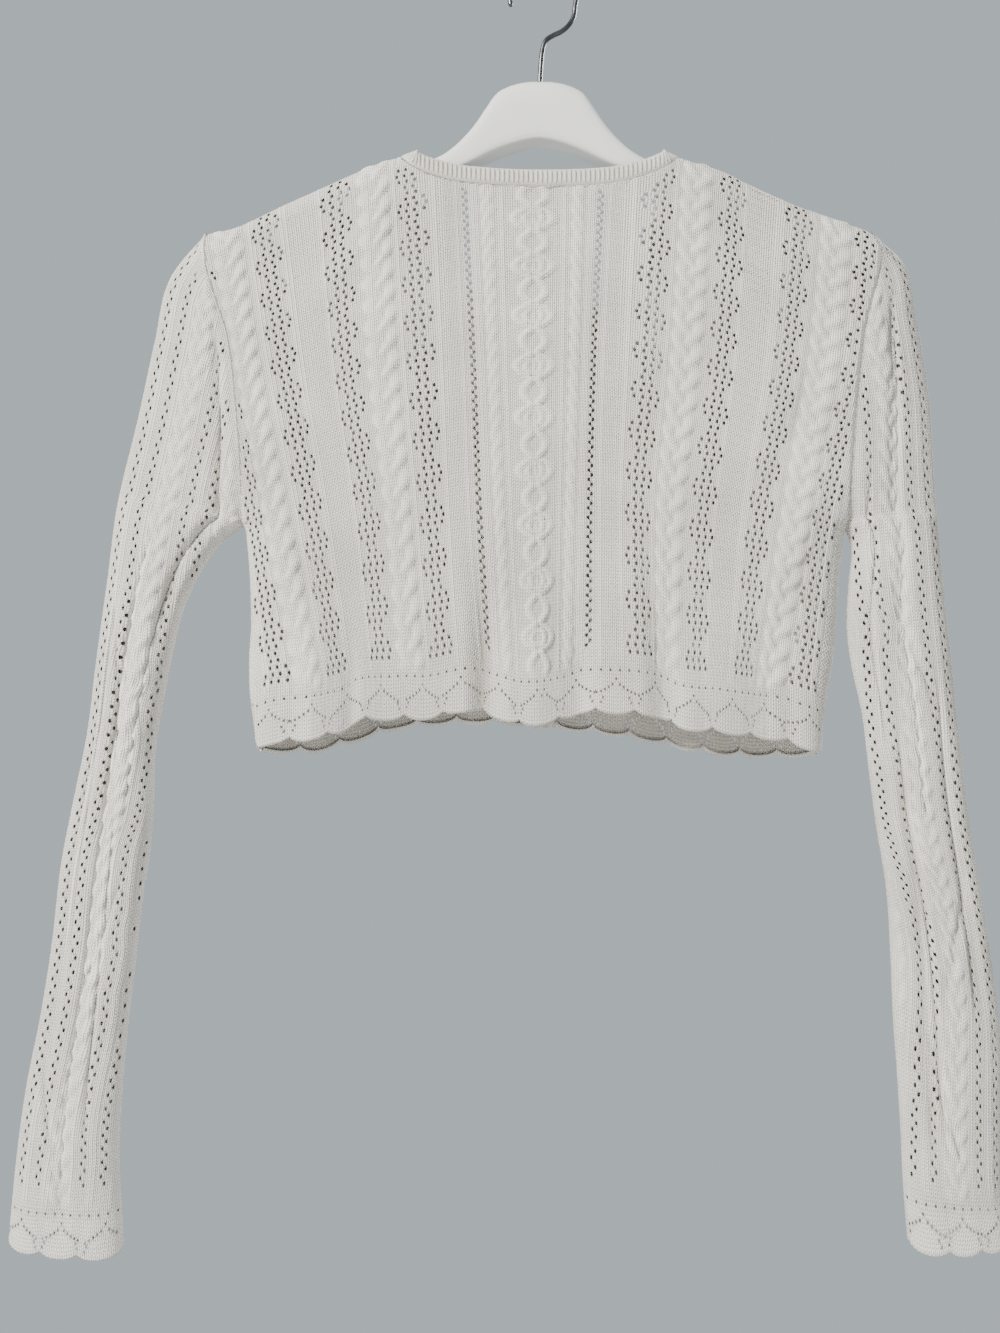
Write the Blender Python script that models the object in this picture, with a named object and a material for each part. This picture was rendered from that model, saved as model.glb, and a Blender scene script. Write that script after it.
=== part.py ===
"""Cropped pointelle cardigan hanging on a shaped hanger, at its real size.

The frame: the origin is the point inside the top of the hook where the hanger bears, +Z is up, the
garment's back faces -Y and +X is on the right of someone who looks at the back. Tables are in
millimetres and the meshes are in metres.

The cloth is a wall of even thickness. Its inside is plain, and cables and ribs are raised in the
points of its outside only.
"""

import math

import bmesh
import bpy
from mathutils import Vector

MM = 0.001
SEAM = 0.15  # half of the gap between two pieces that are sewn together
WALL = 1.7  # thickness of the plain knit
CENTRE_FRONT = 2.0  # x of the front opening

# Depth of the hollow body and how it rounds over the hanger and round the sides
BODY_DEPTH = 13.0
TOP_ROUND = 13.0
SIDE_ROUND = 24.0
UNDERARM_ROUND = 46.0
NECK_ROUND = 9.0

# Courses: mesh rows of a panel from its top to its border, and the row at the underarm
ROWS = 56
UNDERARM_ROW = 34
TOP_ROWS = (0, 0.12, 0.42, 1)  # rows close together where the cloth turns over the hanger
FRONT_STEP = 2  # the fronts take every second row
UNDERARM_ROWS = (UNDERARM_ROW - 1, UNDERARM_ROW + 1)
INNER_ROWS = (2, 4, 6, 8, 10, 12, 14, 16, 20, 25, 29, 32, 33, 34, 35, 37, 41, 46, 51, 56)
INNER_SPACING = 21.0
FOLD_SPACING = 10.5  # of the inside's columns below the underarm, where the folds are
EDGE_STEPS = (2.6, 9.0, 20.0)  # points where a row turns round the side
END_MARGIN = 2.5  # least distance of a wale's points from the row's ends
EDGE_MARGIN = 1.2  # least distance of any other point from the row's ends
COLUMN_SPACING = 1.2  # least spacing of a wale's points
ROW_SPACING = 0.9  # least spacing in a row
TOP_SPACING = 0.25  # least spacing in the rows that follow the neckline
NECK_ROWS = 5  # rows that take more points near the neck points
NECK_STEPS = (0.0, 1.5, 5.0, 11.0, 19.0)  # distances of those points from the neck points
BORDER_ROWS = 2
BORDER_DEPTH = 25.0

# Scalloped edge
SCALLOP_PITCH = 24.0
SCALLOP_DEPTH = 4.6
SCALLOP_STEPS = (0.0, 0.14, 0.5, 0.86)
HEM_THICKNESS = 0.75  # share of the wall's thickness at the scalloped edge

# Cables
CABLE_HEIGHT = 1.9
ROPE_HEIGHT = 1.4
RELIEF_EDGE = 9.0  # distance from a seam over which the cables flatten
RELIEF_ROWS = 1.5  # rows over which they flatten at the top seam and at the border
BORDER_RELIEF = 0.35  # how much of them is left at the border, before easing

# Trims of the neckline and the front edges
BAND_HEIGHT = 9.5
BAND_WALL = 2.0
BAND_RIB_PITCH = 6.4
BAND_RIB_HEIGHT = 0.6
BAND_TURN = 14.0  # distance from a neck point over which the trim turns upright
FRONT_BAND_WIDTH = 6.6
FRONT_BAND_ROWS = 6
FRONT_BAND_CROWN = 0.5

COLOURS = {"knit": (0.79, 0.78, 0.75), "lacquer": (0.83, 0.83, 0.82), "steel": (0.10, 0.10, 0.11)}

# Shoulder line, outside: x, z
SHOULDER_LEFT = ((-208, -167.0), (-195, -165.0), (-184, -161.0), (-161, -150.0), (-141, -141.0),
                 (-119, -131.0), (-97, -122.0), (-89, -120.0))
SHOULDER_RIGHT = ((85, -121.0), (109, -128.0), (126, -136.5), (153, -148.5), (171, -155.0),
                  (185, -160.5), (195, -163.5), (202, -167.0))
NECK_LEFT = -89.0
NECK_RIGHT = 85.0

# Back neckline, at the seam under the trim: x, z
BACK_NECK = ((-89, -121.7), (-80, -129.5), (-66, -135.5), (-45, -139.8), (-2, -142.0), (38, -140.5),
             (60, -136.0), (76, -129.0), (85, -122.7))

# Front neckline, as shares of the way from the neck point to the centre and down: across, down
FRONT_NECK = ((0.0, 0.0), (0.045, 0.14), (0.13, 0.36), (0.28, 0.62), (0.50, 0.84), (0.76, 0.965),
              (1.0, 1.0))
FRONT_NECK_Z = -228.0

# Armhole seam and side seam: z, left x, right x
ARMHOLE = ((-167, -207.0, 201.0), (-180, -206.5, 204.5), (-193, -205.0, 203.5), (-211, -199.5, 199.0),
           (-233, -192.5, 194.0), (-270, -188.0, 190.0), (-310, -185.0, 187.0), (-345, -185.0, 187.0))
SIDE = ((-345, -184.6, 187.2), (-367, -182.5, 184.5), (-386, -181.4, 182.8), (-407, -181.0, 181.4),
        (-430, -182.2, 179.6), (-447, -182.0, 176.6), (-462, -180.4, 174.2), (-492, -176.0, 171.6))

# Hem, along the valleys between the scallops: x, z
BACK_HEM = ((-180, -483.0), (-166, -477.0), (-144, -474.5), (-125, -470.5), (-112, -463.5), (-90, -462.0),
            (-69, -461.5), (-46, -457.0), (-28, -461.0), (-12, -465.5), (9, -463.0), (25, -458.0),
            (50, -458.5), (71, -461.5), (84, -467.5), (108, -470.0), (124, -472.5), (146, -475.5),
            (173, -485.0))
FRONT_HEM = ((-180, -483.0), (-150, -485.0), (-129, -481.0), (-108, -474.5), (-87, -469.0), (-40, -466.0),
             (0, -468.0), (9, -469.5), (39, -473.0), (59, -476.0), (79, -480.0), (98, -484.0),
             (122, -487.0), (148, -487.5), (173, -485.0))

# Heights at which the wales' places are given below
WALE_Z = (-156.0, -249.0, -342.0, -440.0)

# Wales of the back: name, kind, half width, and x at each height of WALE_Z
BACK_WALES = (
    ("lozenge cable", "lozenge", 11.5, (-6.0, -6.0, -4.8, -3.0)),
    ("rope left", "rope", 3.2, (-34.8, -30.9, -26.7, -21.2)),
    ("rope right", "rope", 3.2, (21.2, 19.1, 16.1, 13.1)),
    ("seed rib left", "plain", 7.0, (-60.0, -56.4, -53.3, -46.7)),
    ("seed rib right", "plain", 7.0, (47.9, 44.3, 41.9, 43.1)),
    ("inner braid left", "braid", 10.5, (-102.1, -97.3, -88.5, -79.4)),
    ("inner braid right", "braid", 10.5, (91.9, 86.1, 76.4, 76.1)),
    ("outer rib left", "plain", 5.0, (-149.1, -138.2, -124.3, -110.9)),
    ("outer rib right", "plain", 5.0, (132.8, 126.7, 113.4, 106.1)),
    ("outer braid left", "braid", 9.5, (-195.2, -181.3, -163.1, -140.6)),
    ("outer braid right", "braid", 9.5, (178.3, 168.6, 152.8, 135.8)),
)

# Wales of one front, as distances from the centre front: name, kind, half width, x at each height
FRONT_WALES = (
    ("inner rib", "plain", 3.0, (36.0, 34.0, 31.0, 27.0)),
    ("seed rib", "plain", 7.0, (60.0, 58.0, 54.0, 50.0)),
    ("inner braid", "braid", 10.5, (97.0, 92.0, 84.0, 78.0)),
    ("outer rib", "plain", 5.0, (141.0, 133.0, 120.0, 109.0)),
    ("outer braid", "braid", 9.5, (187.0, 175.0, 158.0, 139.0)),
)

# Across a wale: place as a share of its half width, and its height at the steps of one repeat
PROFILES = {
    "lozenge": (
        (-1.0, (0.0, 0.0, 0.0, 0.0, 0.0, 0.0)),
        (-0.62, (1.0, 0.7, 0.15, 0.6, 0.15, 0.7)),
        (0.0, (0.25, 0.4, 1.0, 0.45, 1.0, 0.4)),
        (0.62, (1.0, 0.7, 0.15, 0.6, 0.15, 0.7)),
        (1.0, (0.0, 0.0, 0.0, 0.0, 0.0, 0.0)),
    ),
    "braid": (
        (-1.0, (0.0, 0.0, 0.0, 0.0)),
        (-0.42, (1.0, 0.65, 0.2, 0.65)),
        (0.42, (0.2, 0.65, 1.0, 0.65)),
        (1.0, (0.0, 0.0, 0.0, 0.0)),
    ),
    "rope": (
        (-1.0, (0.0, 0.0)),
        (0.0, (1.0, 0.45)),
        (1.0, (0.0, 0.0)),
    ),
    "plain": ((0.0, (0.0,)),),
}
SLEEVE_BRAID = ((-1.0, (0.0, 0.0)), (-0.4, (1.0, 0.25)), (0.4, (0.25, 1.0)), (1.0, (0.0, 0.0)))
HEIGHTS = {"lozenge": CABLE_HEIGHT, "braid": CABLE_HEIGHT, "rope": ROPE_HEIGHT, "plain": 0.0}

# Soft folds of the body, outward where positive: x at the hem, half width, height of cloth, depth
BACK_FOLDS = ((-136.0, 20.0, 120.0, 2.6), (-35.0, 16.0, 95.0, -3.2), (-6.0, 18.0, 130.0, 2.6),
              (21.0, 16.0, 80.0, -2.4), (72.0, 17.0, 90.0, -2.4), (106.0, 24.0, 140.0, 2.4))
FRONT_FOLDS = ((-120.0, 22.0, 130.0, 2.4), (-62.0, 20.0, 110.0, -2.0), (48.0, 20.0, 130.0, 2.2),
               (92.0, 20.0, 120.0, -2.2), (134.0, 22.0, 140.0, 2.4))

# Sleeve outlines on the body's middle plane: outer x, outer z, inner x, inner z, half depth
SLEEVE_LEFT = (
    (-207.0, -167.0, -185.0, -345.0, 9.0),
    (-231.0, -194.0, -199.5, -357.0, 11.0),
    (-240.5, -233.0, -213.0, -376.0, 12.5),
    (-251.0, -281.0, -223.5, -400.0, 12.5),
    (-263.0, -331.0, -229.5, -424.0, 12.0),
    (-269.7, -381.0, -235.0, -452.0, 11.5),
    (-276.0, -426.0, -240.5, -486.0, 11.0),
    (-282.0, -474.0, -241.5, -517.0, 10.5),
    (-291.0, -518.0, -243.7, -548.0, 10.0),
    (-298.5, -557.0, -248.5, -580.0, 10.0),
    (-304.0, -605.0, -252.0, -611.0, 10.0),
    (-311.0, -649.0, -256.5, -648.0, 10.0),
    (-320.0, -694.0, -260.5, -690.0, 10.0),
    (-326.0, -738.0, -262.8, -736.0, 10.5),
    (-330.5, -786.0, -261.0, -779.0, 11.5),
)
SLEEVE_RIGHT = (
    (201.0, -167.0, 187.0, -345.0, 9.0),
    (224.0, -187.0, 191.3, -362.0, 11.0),
    (231.0, -219.0, 189.4, -382.0, 12.0),
    (239.0, -268.0, 188.2, -405.0, 12.5),
    (242.5, -322.0, 191.5, -433.0, 12.0),
    (247.0, -377.0, 198.0, -463.0, 11.5),
    (252.0, -424.0, 202.0, -496.0, 11.0),
    (257.0, -473.0, 206.5, -531.0, 10.5),
    (262.5, -520.0, 212.8, -572.0, 10.0),
    (270.0, -567.0, 215.3, -610.0, 10.0),
    (277.5, -615.0, 217.0, -650.0, 10.0),
    (282.5, -656.0, 219.5, -684.0, 10.0),
    (284.0, -705.0, 221.6, -716.0, 10.0),
    (283.5, -745.0, 223.5, -754.0, 11.0),
    (287.0, -786.0, 226.0, -783.0, 12.5),
)
SLEEVE_ROWS = 28
ELBOW_ROW = 12  # the row at which a sleeve's solid is parted in two, which keeps its hollow open
SLEEVE_SEAM_SHARE = 0.16  # share of the length over which the armhole's shape fades out
SLEEVE_FULLNESS = 2.4  # how square its rounded section is
SLEEVE_TOP_ROWS = 4  # rows of the inside next to the seam, all kept
SLEEVE_INNER_STEP = 3  # of the rows below, every third is kept
SEAM_RUN = 0.035  # share of the length over which the walls move in from the outlines
CREASE_RUN = 0.08  # share of the length over which a crease starts and ends
CUFF_ROWS = (0.5, 1.0)
# Places across half a sleeve, besides those of its cables
SLEEVE_INNER_PLACES = (0.0, 0.03, 0.12, 0.28, 0.5, 0.72, 0.88, 0.97, 1.0)
SLEEVE_BACK_PLACES = (0.0, 0.03, 0.12, 0.5, 0.88, 0.97, 1.0)
SLEEVE_FRONT_PLACES = (0.0, 0.03, 0.12, 0.24, 0.68, 0.88, 0.97, 1.0)
CUFF_DEPTH = 24.0
CUFF_SCALLOPS = 6
CUFF_DROP = {"left": 4.0, "right": 11.0}  # how far the front layer of each cuff hangs lower

# Cables of a sleeve, on its back half and its front half: place from outer 0 to inner 1, half width
SLEEVE_BACK_CABLES = ((0.30, 0.085), (0.68, 0.085))
SLEEVE_FRONT_CABLES = ((0.42, 0.085),)

# Long creases of the sleeves: place, from and to as shares of the length, half width, depth
SLEEVE_CREASES = {
    "left": ((0.50, 0.30, 1.00, 0.14, 2.8), (0.18, 0.45, 0.85, 0.10, 1.6), (0.82, 0.06, 0.40, 0.12, 2.2)),
    "right": ((0.52, 0.05, 0.45, 0.14, 2.6), (0.22, 0.45, 0.80, 0.12, 2.4), (0.74, 0.50, 0.95, 0.12, 2.4)),
}

# Hanger: distance from its middle, top z, bottom z, half thickness, roundness (1 is an ellipse)
HANGER_X = -2.0
HANGER = (
    (0.0, -72.5, -110.0, 9.0, 0.7),
    (11.0, -73.2, -111.8, 9.0, 0.7),
    (20.0, -75.8, -114.6, 9.0, 0.7),
    (27.0, -80.0, -117.4, 9.0, 0.7),
    (33.0, -88.5, -120.2, 9.0, 0.7),
    (41.0, -100.2, -124.2, 9.0, 0.75),
    (51.0, -111.0, -129.0, 8.8, 0.8),
    (62.0, -118.6, -134.2, 8.4, 0.9),
)
# Its arms under the cloth: distance from its middle, height, half thickness
HANGER_ARMS = ((76.0, 18.0, 8.0), (90.0, 19.0, 8.0), (110.0, 20.0, 8.0), (135.0, 20.0, 7.8),
               (160.0, 19.0, 7.4), (180.0, 17.0, 6.6), (192.0, 12.0, 5.0))
HANGER_GAP = 0.7  # between the arms' tops and the cloth that lies over them
HANGER_SIDES = 12
HANGER_SECTIONS = 25
HANGER_CROWDING = 0.25  # how much closer the sections are towards the tips

# Hook: its wire, its bend and the stem below it, as x, z
WIRE_RADIUS = 1.5
BEND_RADIUS = 20.5  # to the middle of the wire
BEND_FROM = -14.0
BEND_TO = 196.0
BEND_STEPS = 14
STEM = ((-2.0, -72.1), (-1.4, -62.0), (-0.4, -52.0), (1.6, -45.8), (6.0, -42.6), (11.4, -40.0), (16.0, -36.0),
        (19.0, -30.6))


def along(rows, place, column=1):
    """Value of a table's column at a place in its first column, on a smooth curve through the rows."""
    keys = [row[0] for row in rows]
    values = [row[column] for row in rows]
    if keys[0] > keys[-1]:
        keys.reverse()
        values.reverse()
    place = min(max(place, keys[0]), keys[-1])
    index = 0
    while index < len(keys) - 2 and place > keys[index + 1]:
        index += 1
    span = keys[index + 1] - keys[index]
    share = (place - keys[index]) / span
    start = slope(keys, values, index) * span
    end = slope(keys, values, index + 1) * span
    square = share * share
    cube = square * share
    return (
        (2 * cube - 3 * square + 1) * values[index]
        + (cube - 2 * square + share) * start
        + (3 * square - 2 * cube) * values[index + 1]
        + (cube - square) * end
    )


def slope(keys, values, index):
    """Slope of a smooth curve at a row, flat where the values turn round."""
    low = max(index - 1, 0)
    high = min(index + 1, len(keys) - 1)
    if 0 < index < len(keys) - 1:
        before = values[index] - values[index - 1]
        after = values[index + 1] - values[index]
        if before * after < 0:
            return 0.0
    return (values[high] - values[low]) / (keys[high] - keys[low])


def mixed(start, end, share):
    """The value a share of the way from start to end."""
    return start + (end - start) * share


def eased(share):
    """0 to 1 with level ends."""
    share = min(max(share, 0.0), 1.0)
    return share * share * (3 - 2 * share)


def rounded(share):
    """Height of a quarter circle at a share of its radius from its edge."""
    share = min(max(share, 0.0), 1.0)
    return math.sqrt(1 - (1 - share) ** 2)


def hump(distance, half_width):
    """A soft hump, 1 in the middle and 0 at its half width."""
    return eased(1 - abs(distance) / half_width) if half_width > 0 else 0.0


class Wall:
    """A closed wall of cloth: rows of outer points, rows of inner points and the rims between them."""

    def __init__(self, name):
        self.name = name
        self.points = []
        self.faces = []
        self.outer = []
        self.inner = []

    def row(self, layer, points, places):
        """Add a row of points, each with its place along the row, to the outer or inner layer."""
        first = len(self.points)
        self.points.extend(points)
        layer.append([(place, first + step) for step, place in enumerate(places)])

    def zip(self, one, other):
        """Fill the strip between two rows, which may have different numbers of points."""
        left, right = 0, 0
        while left < len(one) - 1 or right < len(other) - 1:
            if right == len(other) - 1:
                step_left = True
            elif left == len(one) - 1:
                step_left = False
            else:
                step_left = one[left][0] + one[left + 1][0] <= other[right][0] + other[right + 1][0]
            if step_left:
                self.face(one[left][1], one[left + 1][1], other[right][1])
                left += 1
            else:
                self.face(one[left][1], other[right + 1][1], other[right][1])
                right += 1

    def face(self, first, second, third):
        """Add a triangle, unless two of its corners are the same point."""
        if len({first, second, third}) == 3:
            self.faces.append((first, second, third))

    def close(self, tube):
        """Fill the strips of both layers and the rims, which a tube has only at its ends."""
        for layer in (self.outer, self.inner):
            for one, other in zip(layer, layer[1:]):
                self.zip(one, other)
        self.zip(self.outer[0], self.inner[0])
        self.zip(self.outer[-1], self.inner[-1])
        if not tube:
            for end in (0, -1):
                rims = []
                for layer in (self.outer, self.inner):
                    rims.append([(-self.points[row[0][1]].z, row[end][1]) for row in layer])
                self.zip(rims[0], rims[1])

    def ring(self, points):
        """Add a ring of points of a solid strip, closed on itself."""
        first = len(self.points)
        self.points.extend(points)
        count = len(points)
        self.outer.append([(step, first + step) for step in range(count)] + [(count, first)])

    def cap(self):
        """Fill the strips between the rings and close both ends of a solid strip."""
        for one, other in zip(self.outer, self.outer[1:]):
            self.zip(one, other)
        for ring in (self.outer[0], self.outer[-1]):
            for step in range(1, len(ring) - 2):
                self.face(ring[0][1], ring[step][1], ring[step + 1][1])

    def build(self, collection, colour):
        """Make the mesh object, with all its faces pointing out."""
        mesh = bpy.data.meshes.new(self.name)
        mesh.from_pydata([tuple(value * MM for value in point) for point in self.points], [], self.faces)
        shape = bmesh.new()
        shape.from_mesh(mesh)
        bmesh.ops.recalc_face_normals(shape, faces=shape.faces)
        shape.to_mesh(mesh)
        shape.free()
        mesh.shade_smooth()
        return add_object(self.name, mesh, collection, colour, 0.85, 0.0)


def add_object(name, data, collection, colour, roughness, metallic):
    """Link an object with its own material."""
    item = bpy.data.objects.new(name, data)
    collection.objects.link(item)
    material = bpy.data.materials.new(name + " finish")
    material.use_nodes = True
    shader = material.node_tree.nodes["Principled BSDF"]
    shader.inputs["Base Color"].default_value = (*colour, 1.0)
    shader.inputs["Roughness"].default_value = roughness
    shader.inputs["Metallic"].default_value = metallic
    data.materials.append(material)
    return item


class Body:
    """Shape of the hollow body, whose back is at side -1 and whose fronts are at side 1."""

    def __init__(self, side):
        self.side = side
        self.hem = BACK_HEM if side < 0 else FRONT_HEM
        self.folds = BACK_FOLDS if side < 0 else FRONT_FOLDS
        self.neck = self.neckline()
        self.places = []

    def neckline(self):
        """Points x, z of this side's neckline from left to right."""
        if self.side < 0:
            return BACK_NECK
        halves = []
        for x, z in (BACK_NECK[0], BACK_NECK[-1]):
            half = []
            for across, down in FRONT_NECK:
                half.append((mixed(x, CENTRE_FRONT, across), mixed(z, FRONT_NECK_Z, down)))
            halves.append(half)
        return tuple(halves[0]) + tuple(reversed(halves[1][:-1]))

    def top(self, x):
        """Height of the panel's top edge, on its inside."""
        if x <= NECK_LEFT:
            return along(SHOULDER_LEFT, x) - WALL
        if x >= NECK_RIGHT:
            return along(SHOULDER_RIGHT, x) - WALL
        return along(self.neck, x)

    def bottom(self, x):
        """Height of the border's top edge."""
        return along(self.hem, x) + BORDER_DEPTH

    def edge(self, z, right):
        """x of the armhole or side seam at a height, on the cloth's inside."""
        column = 2 if right else 1
        inward = -1 if right else 1
        if z > ARMHOLE[-1][0]:
            return along(ARMHOLE, z, column)
        return along(SIDE, z, column) + inward * WALL * eased((ARMHOLE[-1][0] - z) / 6.0)

    def depth(self, x, z):
        """Distance of the inside from the middle plane."""
        right = x > 0
        seat = ARMHOLE[-1][0]
        near = abs(self.edge(z, right) - x) / SIDE_ROUND
        shoulder = rounded((self.top(x) - z) / TOP_ROUND)
        neck = rounded(min(x - NECK_LEFT, NECK_RIGHT - x) / NECK_ROUND)
        shoulder = mixed(shoulder, 1.0, neck)
        open_armhole = rounded((z - seat) / UNDERARM_ROUND) if z > seat else 0.0
        side = mixed(rounded(near), 1.0, open_armhole)
        return BODY_DEPTH * shoulder * side

    def fold(self, x, z):
        """How far the soft folds move the cloth outwards."""
        moved = 0.0
        foot = along(self.hem, x)
        for place, half_width, height, depth in self.folds:
            rise = eased(1 - (z - foot) / height)
            moved += depth * rise * hump(x - place, half_width)
        return moved

    def point(self, x, z):
        """Point of the inside surface."""
        depth = self.depth(x, z)
        depth += self.fold(x, z) * eased(depth / BODY_DEPTH)
        return Vector((x, self.side * max(depth, SEAM), z))

    def normal(self, x, z):
        """Direction out of the cloth."""
        step = 0.6
        across = self.point(x + step, z) - self.point(x - step, z)
        # Past the top edge the cloth turns over level, so the step down is taken from the point itself
        down = self.point(x, z - step) - self.point(x, z)
        out = across.cross(down)
        if out.length < 1e-9:
            return Vector((0, self.side, 0))
        out.normalize()
        return out if out.y * self.side >= 0 else -out


def armhole_point(row, right):
    """Point of the armhole seam of the back half at a row, from the shoulder tip to the underarm."""
    share = row / UNDERARM_ROW
    z = mixed(ARMHOLE[0][0] - WALL, ARMHOLE[-1][0], share)
    body = Body(-1)
    x = body.edge(z, right)
    drop = rounded((ARMHOLE[0][0] - WALL - z) / TOP_ROUND)
    open_armhole = rounded((z - ARMHOLE[-1][0]) / UNDERARM_ROUND)
    return Vector((x, -BODY_DEPTH * drop * open_armhole, z))


def armhole_normal(row, right):
    """Direction out of the cloth at the armhole seam of the back half."""
    step = 0.25
    before = armhole_point(max(row - step, 0), right)
    after = armhole_point(min(row + step, UNDERARM_ROW), right)
    if row < step:
        before = Vector((after.x, -after.y, after.z))
    if row > UNDERARM_ROW - step:
        after = Vector((before.x, -before.y, before.z))
    run = after - before
    out = Vector((0, run.z, -run.y))
    return out.normalized()


def panel_columns(wales, mirror=1, origin=0.0):
    """Columns of points over the wales: place at each height, and the heights of the relief."""
    columns = []
    for _name, kind, half_width, places in wales:
        for share, steps in PROFILES[kind]:
            xs = [origin + mirror * (x + share * half_width) for x in places]
            columns.append((xs, [HEIGHTS[kind] * step for step in steps]))
    columns.sort(key=lambda column: column[0][2])
    return columns


def column_x(xs, z):
    """x of a column at a height."""
    rows = list(zip(WALE_Z, xs))
    return along(rows, z)


def column_place(body, xs, share):
    """x and z of a column a share of the way down the panel."""
    z = mixed(WALE_Z[0], WALE_Z[-1], share)
    for _pass in range(4):
        x = column_x(xs, z)
        z = mixed(body.top(x), body.bottom(x), share)
    return x, z


def panel_row(body, columns, row, tips, sparse):
    """One row of a panel: x, z and relief of its points. A sparse row has only its raised points."""
    step = round(row)
    places = []
    for xs, heights in columns:
        if sparse and max(heights) == 0.0:
            continue
        x, z = column_place(body, xs, row / ROWS)
        if tips[0].x + END_MARGIN < x < tips[1].x - END_MARGIN:
            places.append((x, z, heights[step % len(heights)]))
    return thinned(places, COLUMN_SPACING)


def thinned(places, least):
    """Leave out points that are closer than the least spacing, but never a neck point."""
    kept = []
    for place in places:
        near = kept and place[0] - kept[-1][0] <= least
        if near and place[0] == NECK_RIGHT:
            kept[-1] = place
        elif not near:
            kept.append(place)
    return kept


def side_end(body, share, right):
    """End point of a row on the armhole or side seam."""
    row = share * ROWS
    if row <= UNDERARM_ROW:
        seam = armhole_point(row, right)
        out = armhole_normal(row, right)
        inward = -SEAM if right else SEAM
        point = Vector((seam.x + inward, -max(-seam.y, SEAM), seam.z))
        if body.side > 0:
            point.y = -point.y
            out.y = -out.y
        return point, out
    x_end = body.edge(-450.0, right)
    start = ARMHOLE[-1][0]
    z = mixed(start, body.bottom(x_end), (row - UNDERARM_ROW) / (ROWS - UNDERARM_ROW))
    x = body.edge(z, right)
    return Vector((x, body.side * SEAM, z)), Vector((1.0 if right else -1.0, 0, 0))


def scallop_places(start, end):
    """Places along a hem between two ends, and the depth of the scallops there."""
    count = max(round(abs(end - start) / SCALLOP_PITCH), 1)
    places = []
    for index in range(count):
        for step in SCALLOP_STEPS:
            share = (index + step) / count
            places.append((mixed(start, end, share), SCALLOP_DEPTH * lobe(step)))
    places.append((end, 0.0))
    return places


def lobe(share):
    """Depth of one scallop across its width."""
    return math.sqrt(max(1 - (2 * share - 1) ** 2, 0.0))


def build_panel(name, body, columns, rows, limits, collection):
    """A back or front panel with its scalloped border. Limits are x of its centre ends, or None."""
    wall = Wall(name)
    above = plain_columns(INNER_SPACING)
    below = plain_columns(FOLD_SPACING)
    for row in rows:
        add_panel_row(wall, body, columns, row, limits, True)
    for row in TOP_ROWS + INNER_ROWS:
        add_panel_row(wall, body, above if row < UNDERARM_ROW else below, row, limits, False)
    for outer in (True, False):
        for step in range(1, BORDER_ROWS + 1):
            add_border_row(wall, body, step, limits, outer)
    wall.close(tube=False)
    return wall.build(collection, COLOURS["knit"])


def plain_columns(spacing):
    """Columns an even distance apart for the plain inside."""
    count = round((ARMHOLE[0][2] - ARMHOLE[0][1]) / spacing)
    columns = []
    for index in range(1, count):
        x = mixed(ARMHOLE[0][1], ARMHOLE[0][2], index / count)
        columns.append(([x] * len(WALE_Z), [0.0]))
    return columns


def edge_places(low, high, body, row):
    """Extra points where a row turns round the side, over the shoulder or along the neckline."""
    extra = []
    for distance in EDGE_STEPS:
        extra.append(low + distance)
        extra.append(high - distance)
    if row < NECK_ROWS:
        for distance in NECK_STEPS:
            extra.append(NECK_LEFT + distance)
            extra.append(NECK_RIGHT - distance)
        extra.extend(neck_places(body)[4:-4:3])
    if row in TOP_ROWS:
        extra.extend(neck_places(body))
    return extra


def neck_places(body):
    """x of points an even distance apart along the neckline."""
    if body.places:
        return body.places
    fine = []
    steps = 500
    for index in range(steps + 1):
        x = mixed(NECK_LEFT, NECK_RIGHT, (1 - math.cos(math.pi * index / steps)) / 2)
        fine.append(body.point(x, body.top(x)))
    length = sum((b - a).length for a, b in zip(fine, fine[1:]))
    spacing = length / round(length / BAND_RIB_PITCH)
    places = [fine[0].x]
    gone = 0.0
    for before, after in zip(fine, fine[1:]):
        gone += (after - before).length
        if gone >= spacing * len(places) - 1e-6:
            places.append(after.x)
    places[-1] = fine[-1].x
    body.places = places
    return places


def row_ends(body, row, limits):
    """The two end points of a row and the directions out of the cloth there."""
    share = row / ROWS
    ends = []
    for right, limit in ((False, limits[0]), (True, limits[1])):
        if limit is None:
            ends.append(side_end(body, share, right))
        else:
            z = mixed(body.top(limit), body.bottom(limit), share)
            ends.append((body.point(limit, z), body.normal(limit, z)))
    return ends


def add_panel_row(wall, body, columns, row, limits, outer):
    """Add one row of a panel to the outer or inner layer."""
    ends = row_ends(body, row, limits)
    tips = (ends[0][0], ends[1][0])
    step = 1 if body.side < 0 else FRONT_STEP
    sparse = outer and row > 2 * NECK_ROWS and row // step % 2 == 1
    places = panel_row(body, columns, row, tips, sparse)
    for x in edge_places(tips[0].x, tips[1].x, body, row):
        if tips[0].x + EDGE_MARGIN < x < tips[1].x - EDGE_MARGIN:
            places.append((x, mixed(body.top(x), body.bottom(x), row / ROWS), 0.0))
    places.sort(key=lambda place: place[0])
    if row in TOP_ROWS:
        fixed = set(neck_places(body))
        places = [place for place in places if place[0] in fixed or not NECK_LEFT < place[0] < NECK_RIGHT]
    places = thinned(places, TOP_SPACING if row in TOP_ROWS else ROW_SPACING)
    thickness = WALL if outer else 0.0
    points = [tips[0] + ends[0][1] * thickness]
    for x, z, height in places:
        raised = thickness + height * relief_fade(body, x, z, row) if outer else 0.0
        points.append(body.point(x, z) + body.normal(x, z) * raised)
    points.append(tips[1] + ends[1][1] * thickness)
    keys = [tips[0].x] + [place[0] for place in places] + [tips[1].x]
    wall.row(wall.outer if outer else wall.inner, points, keys)


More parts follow.
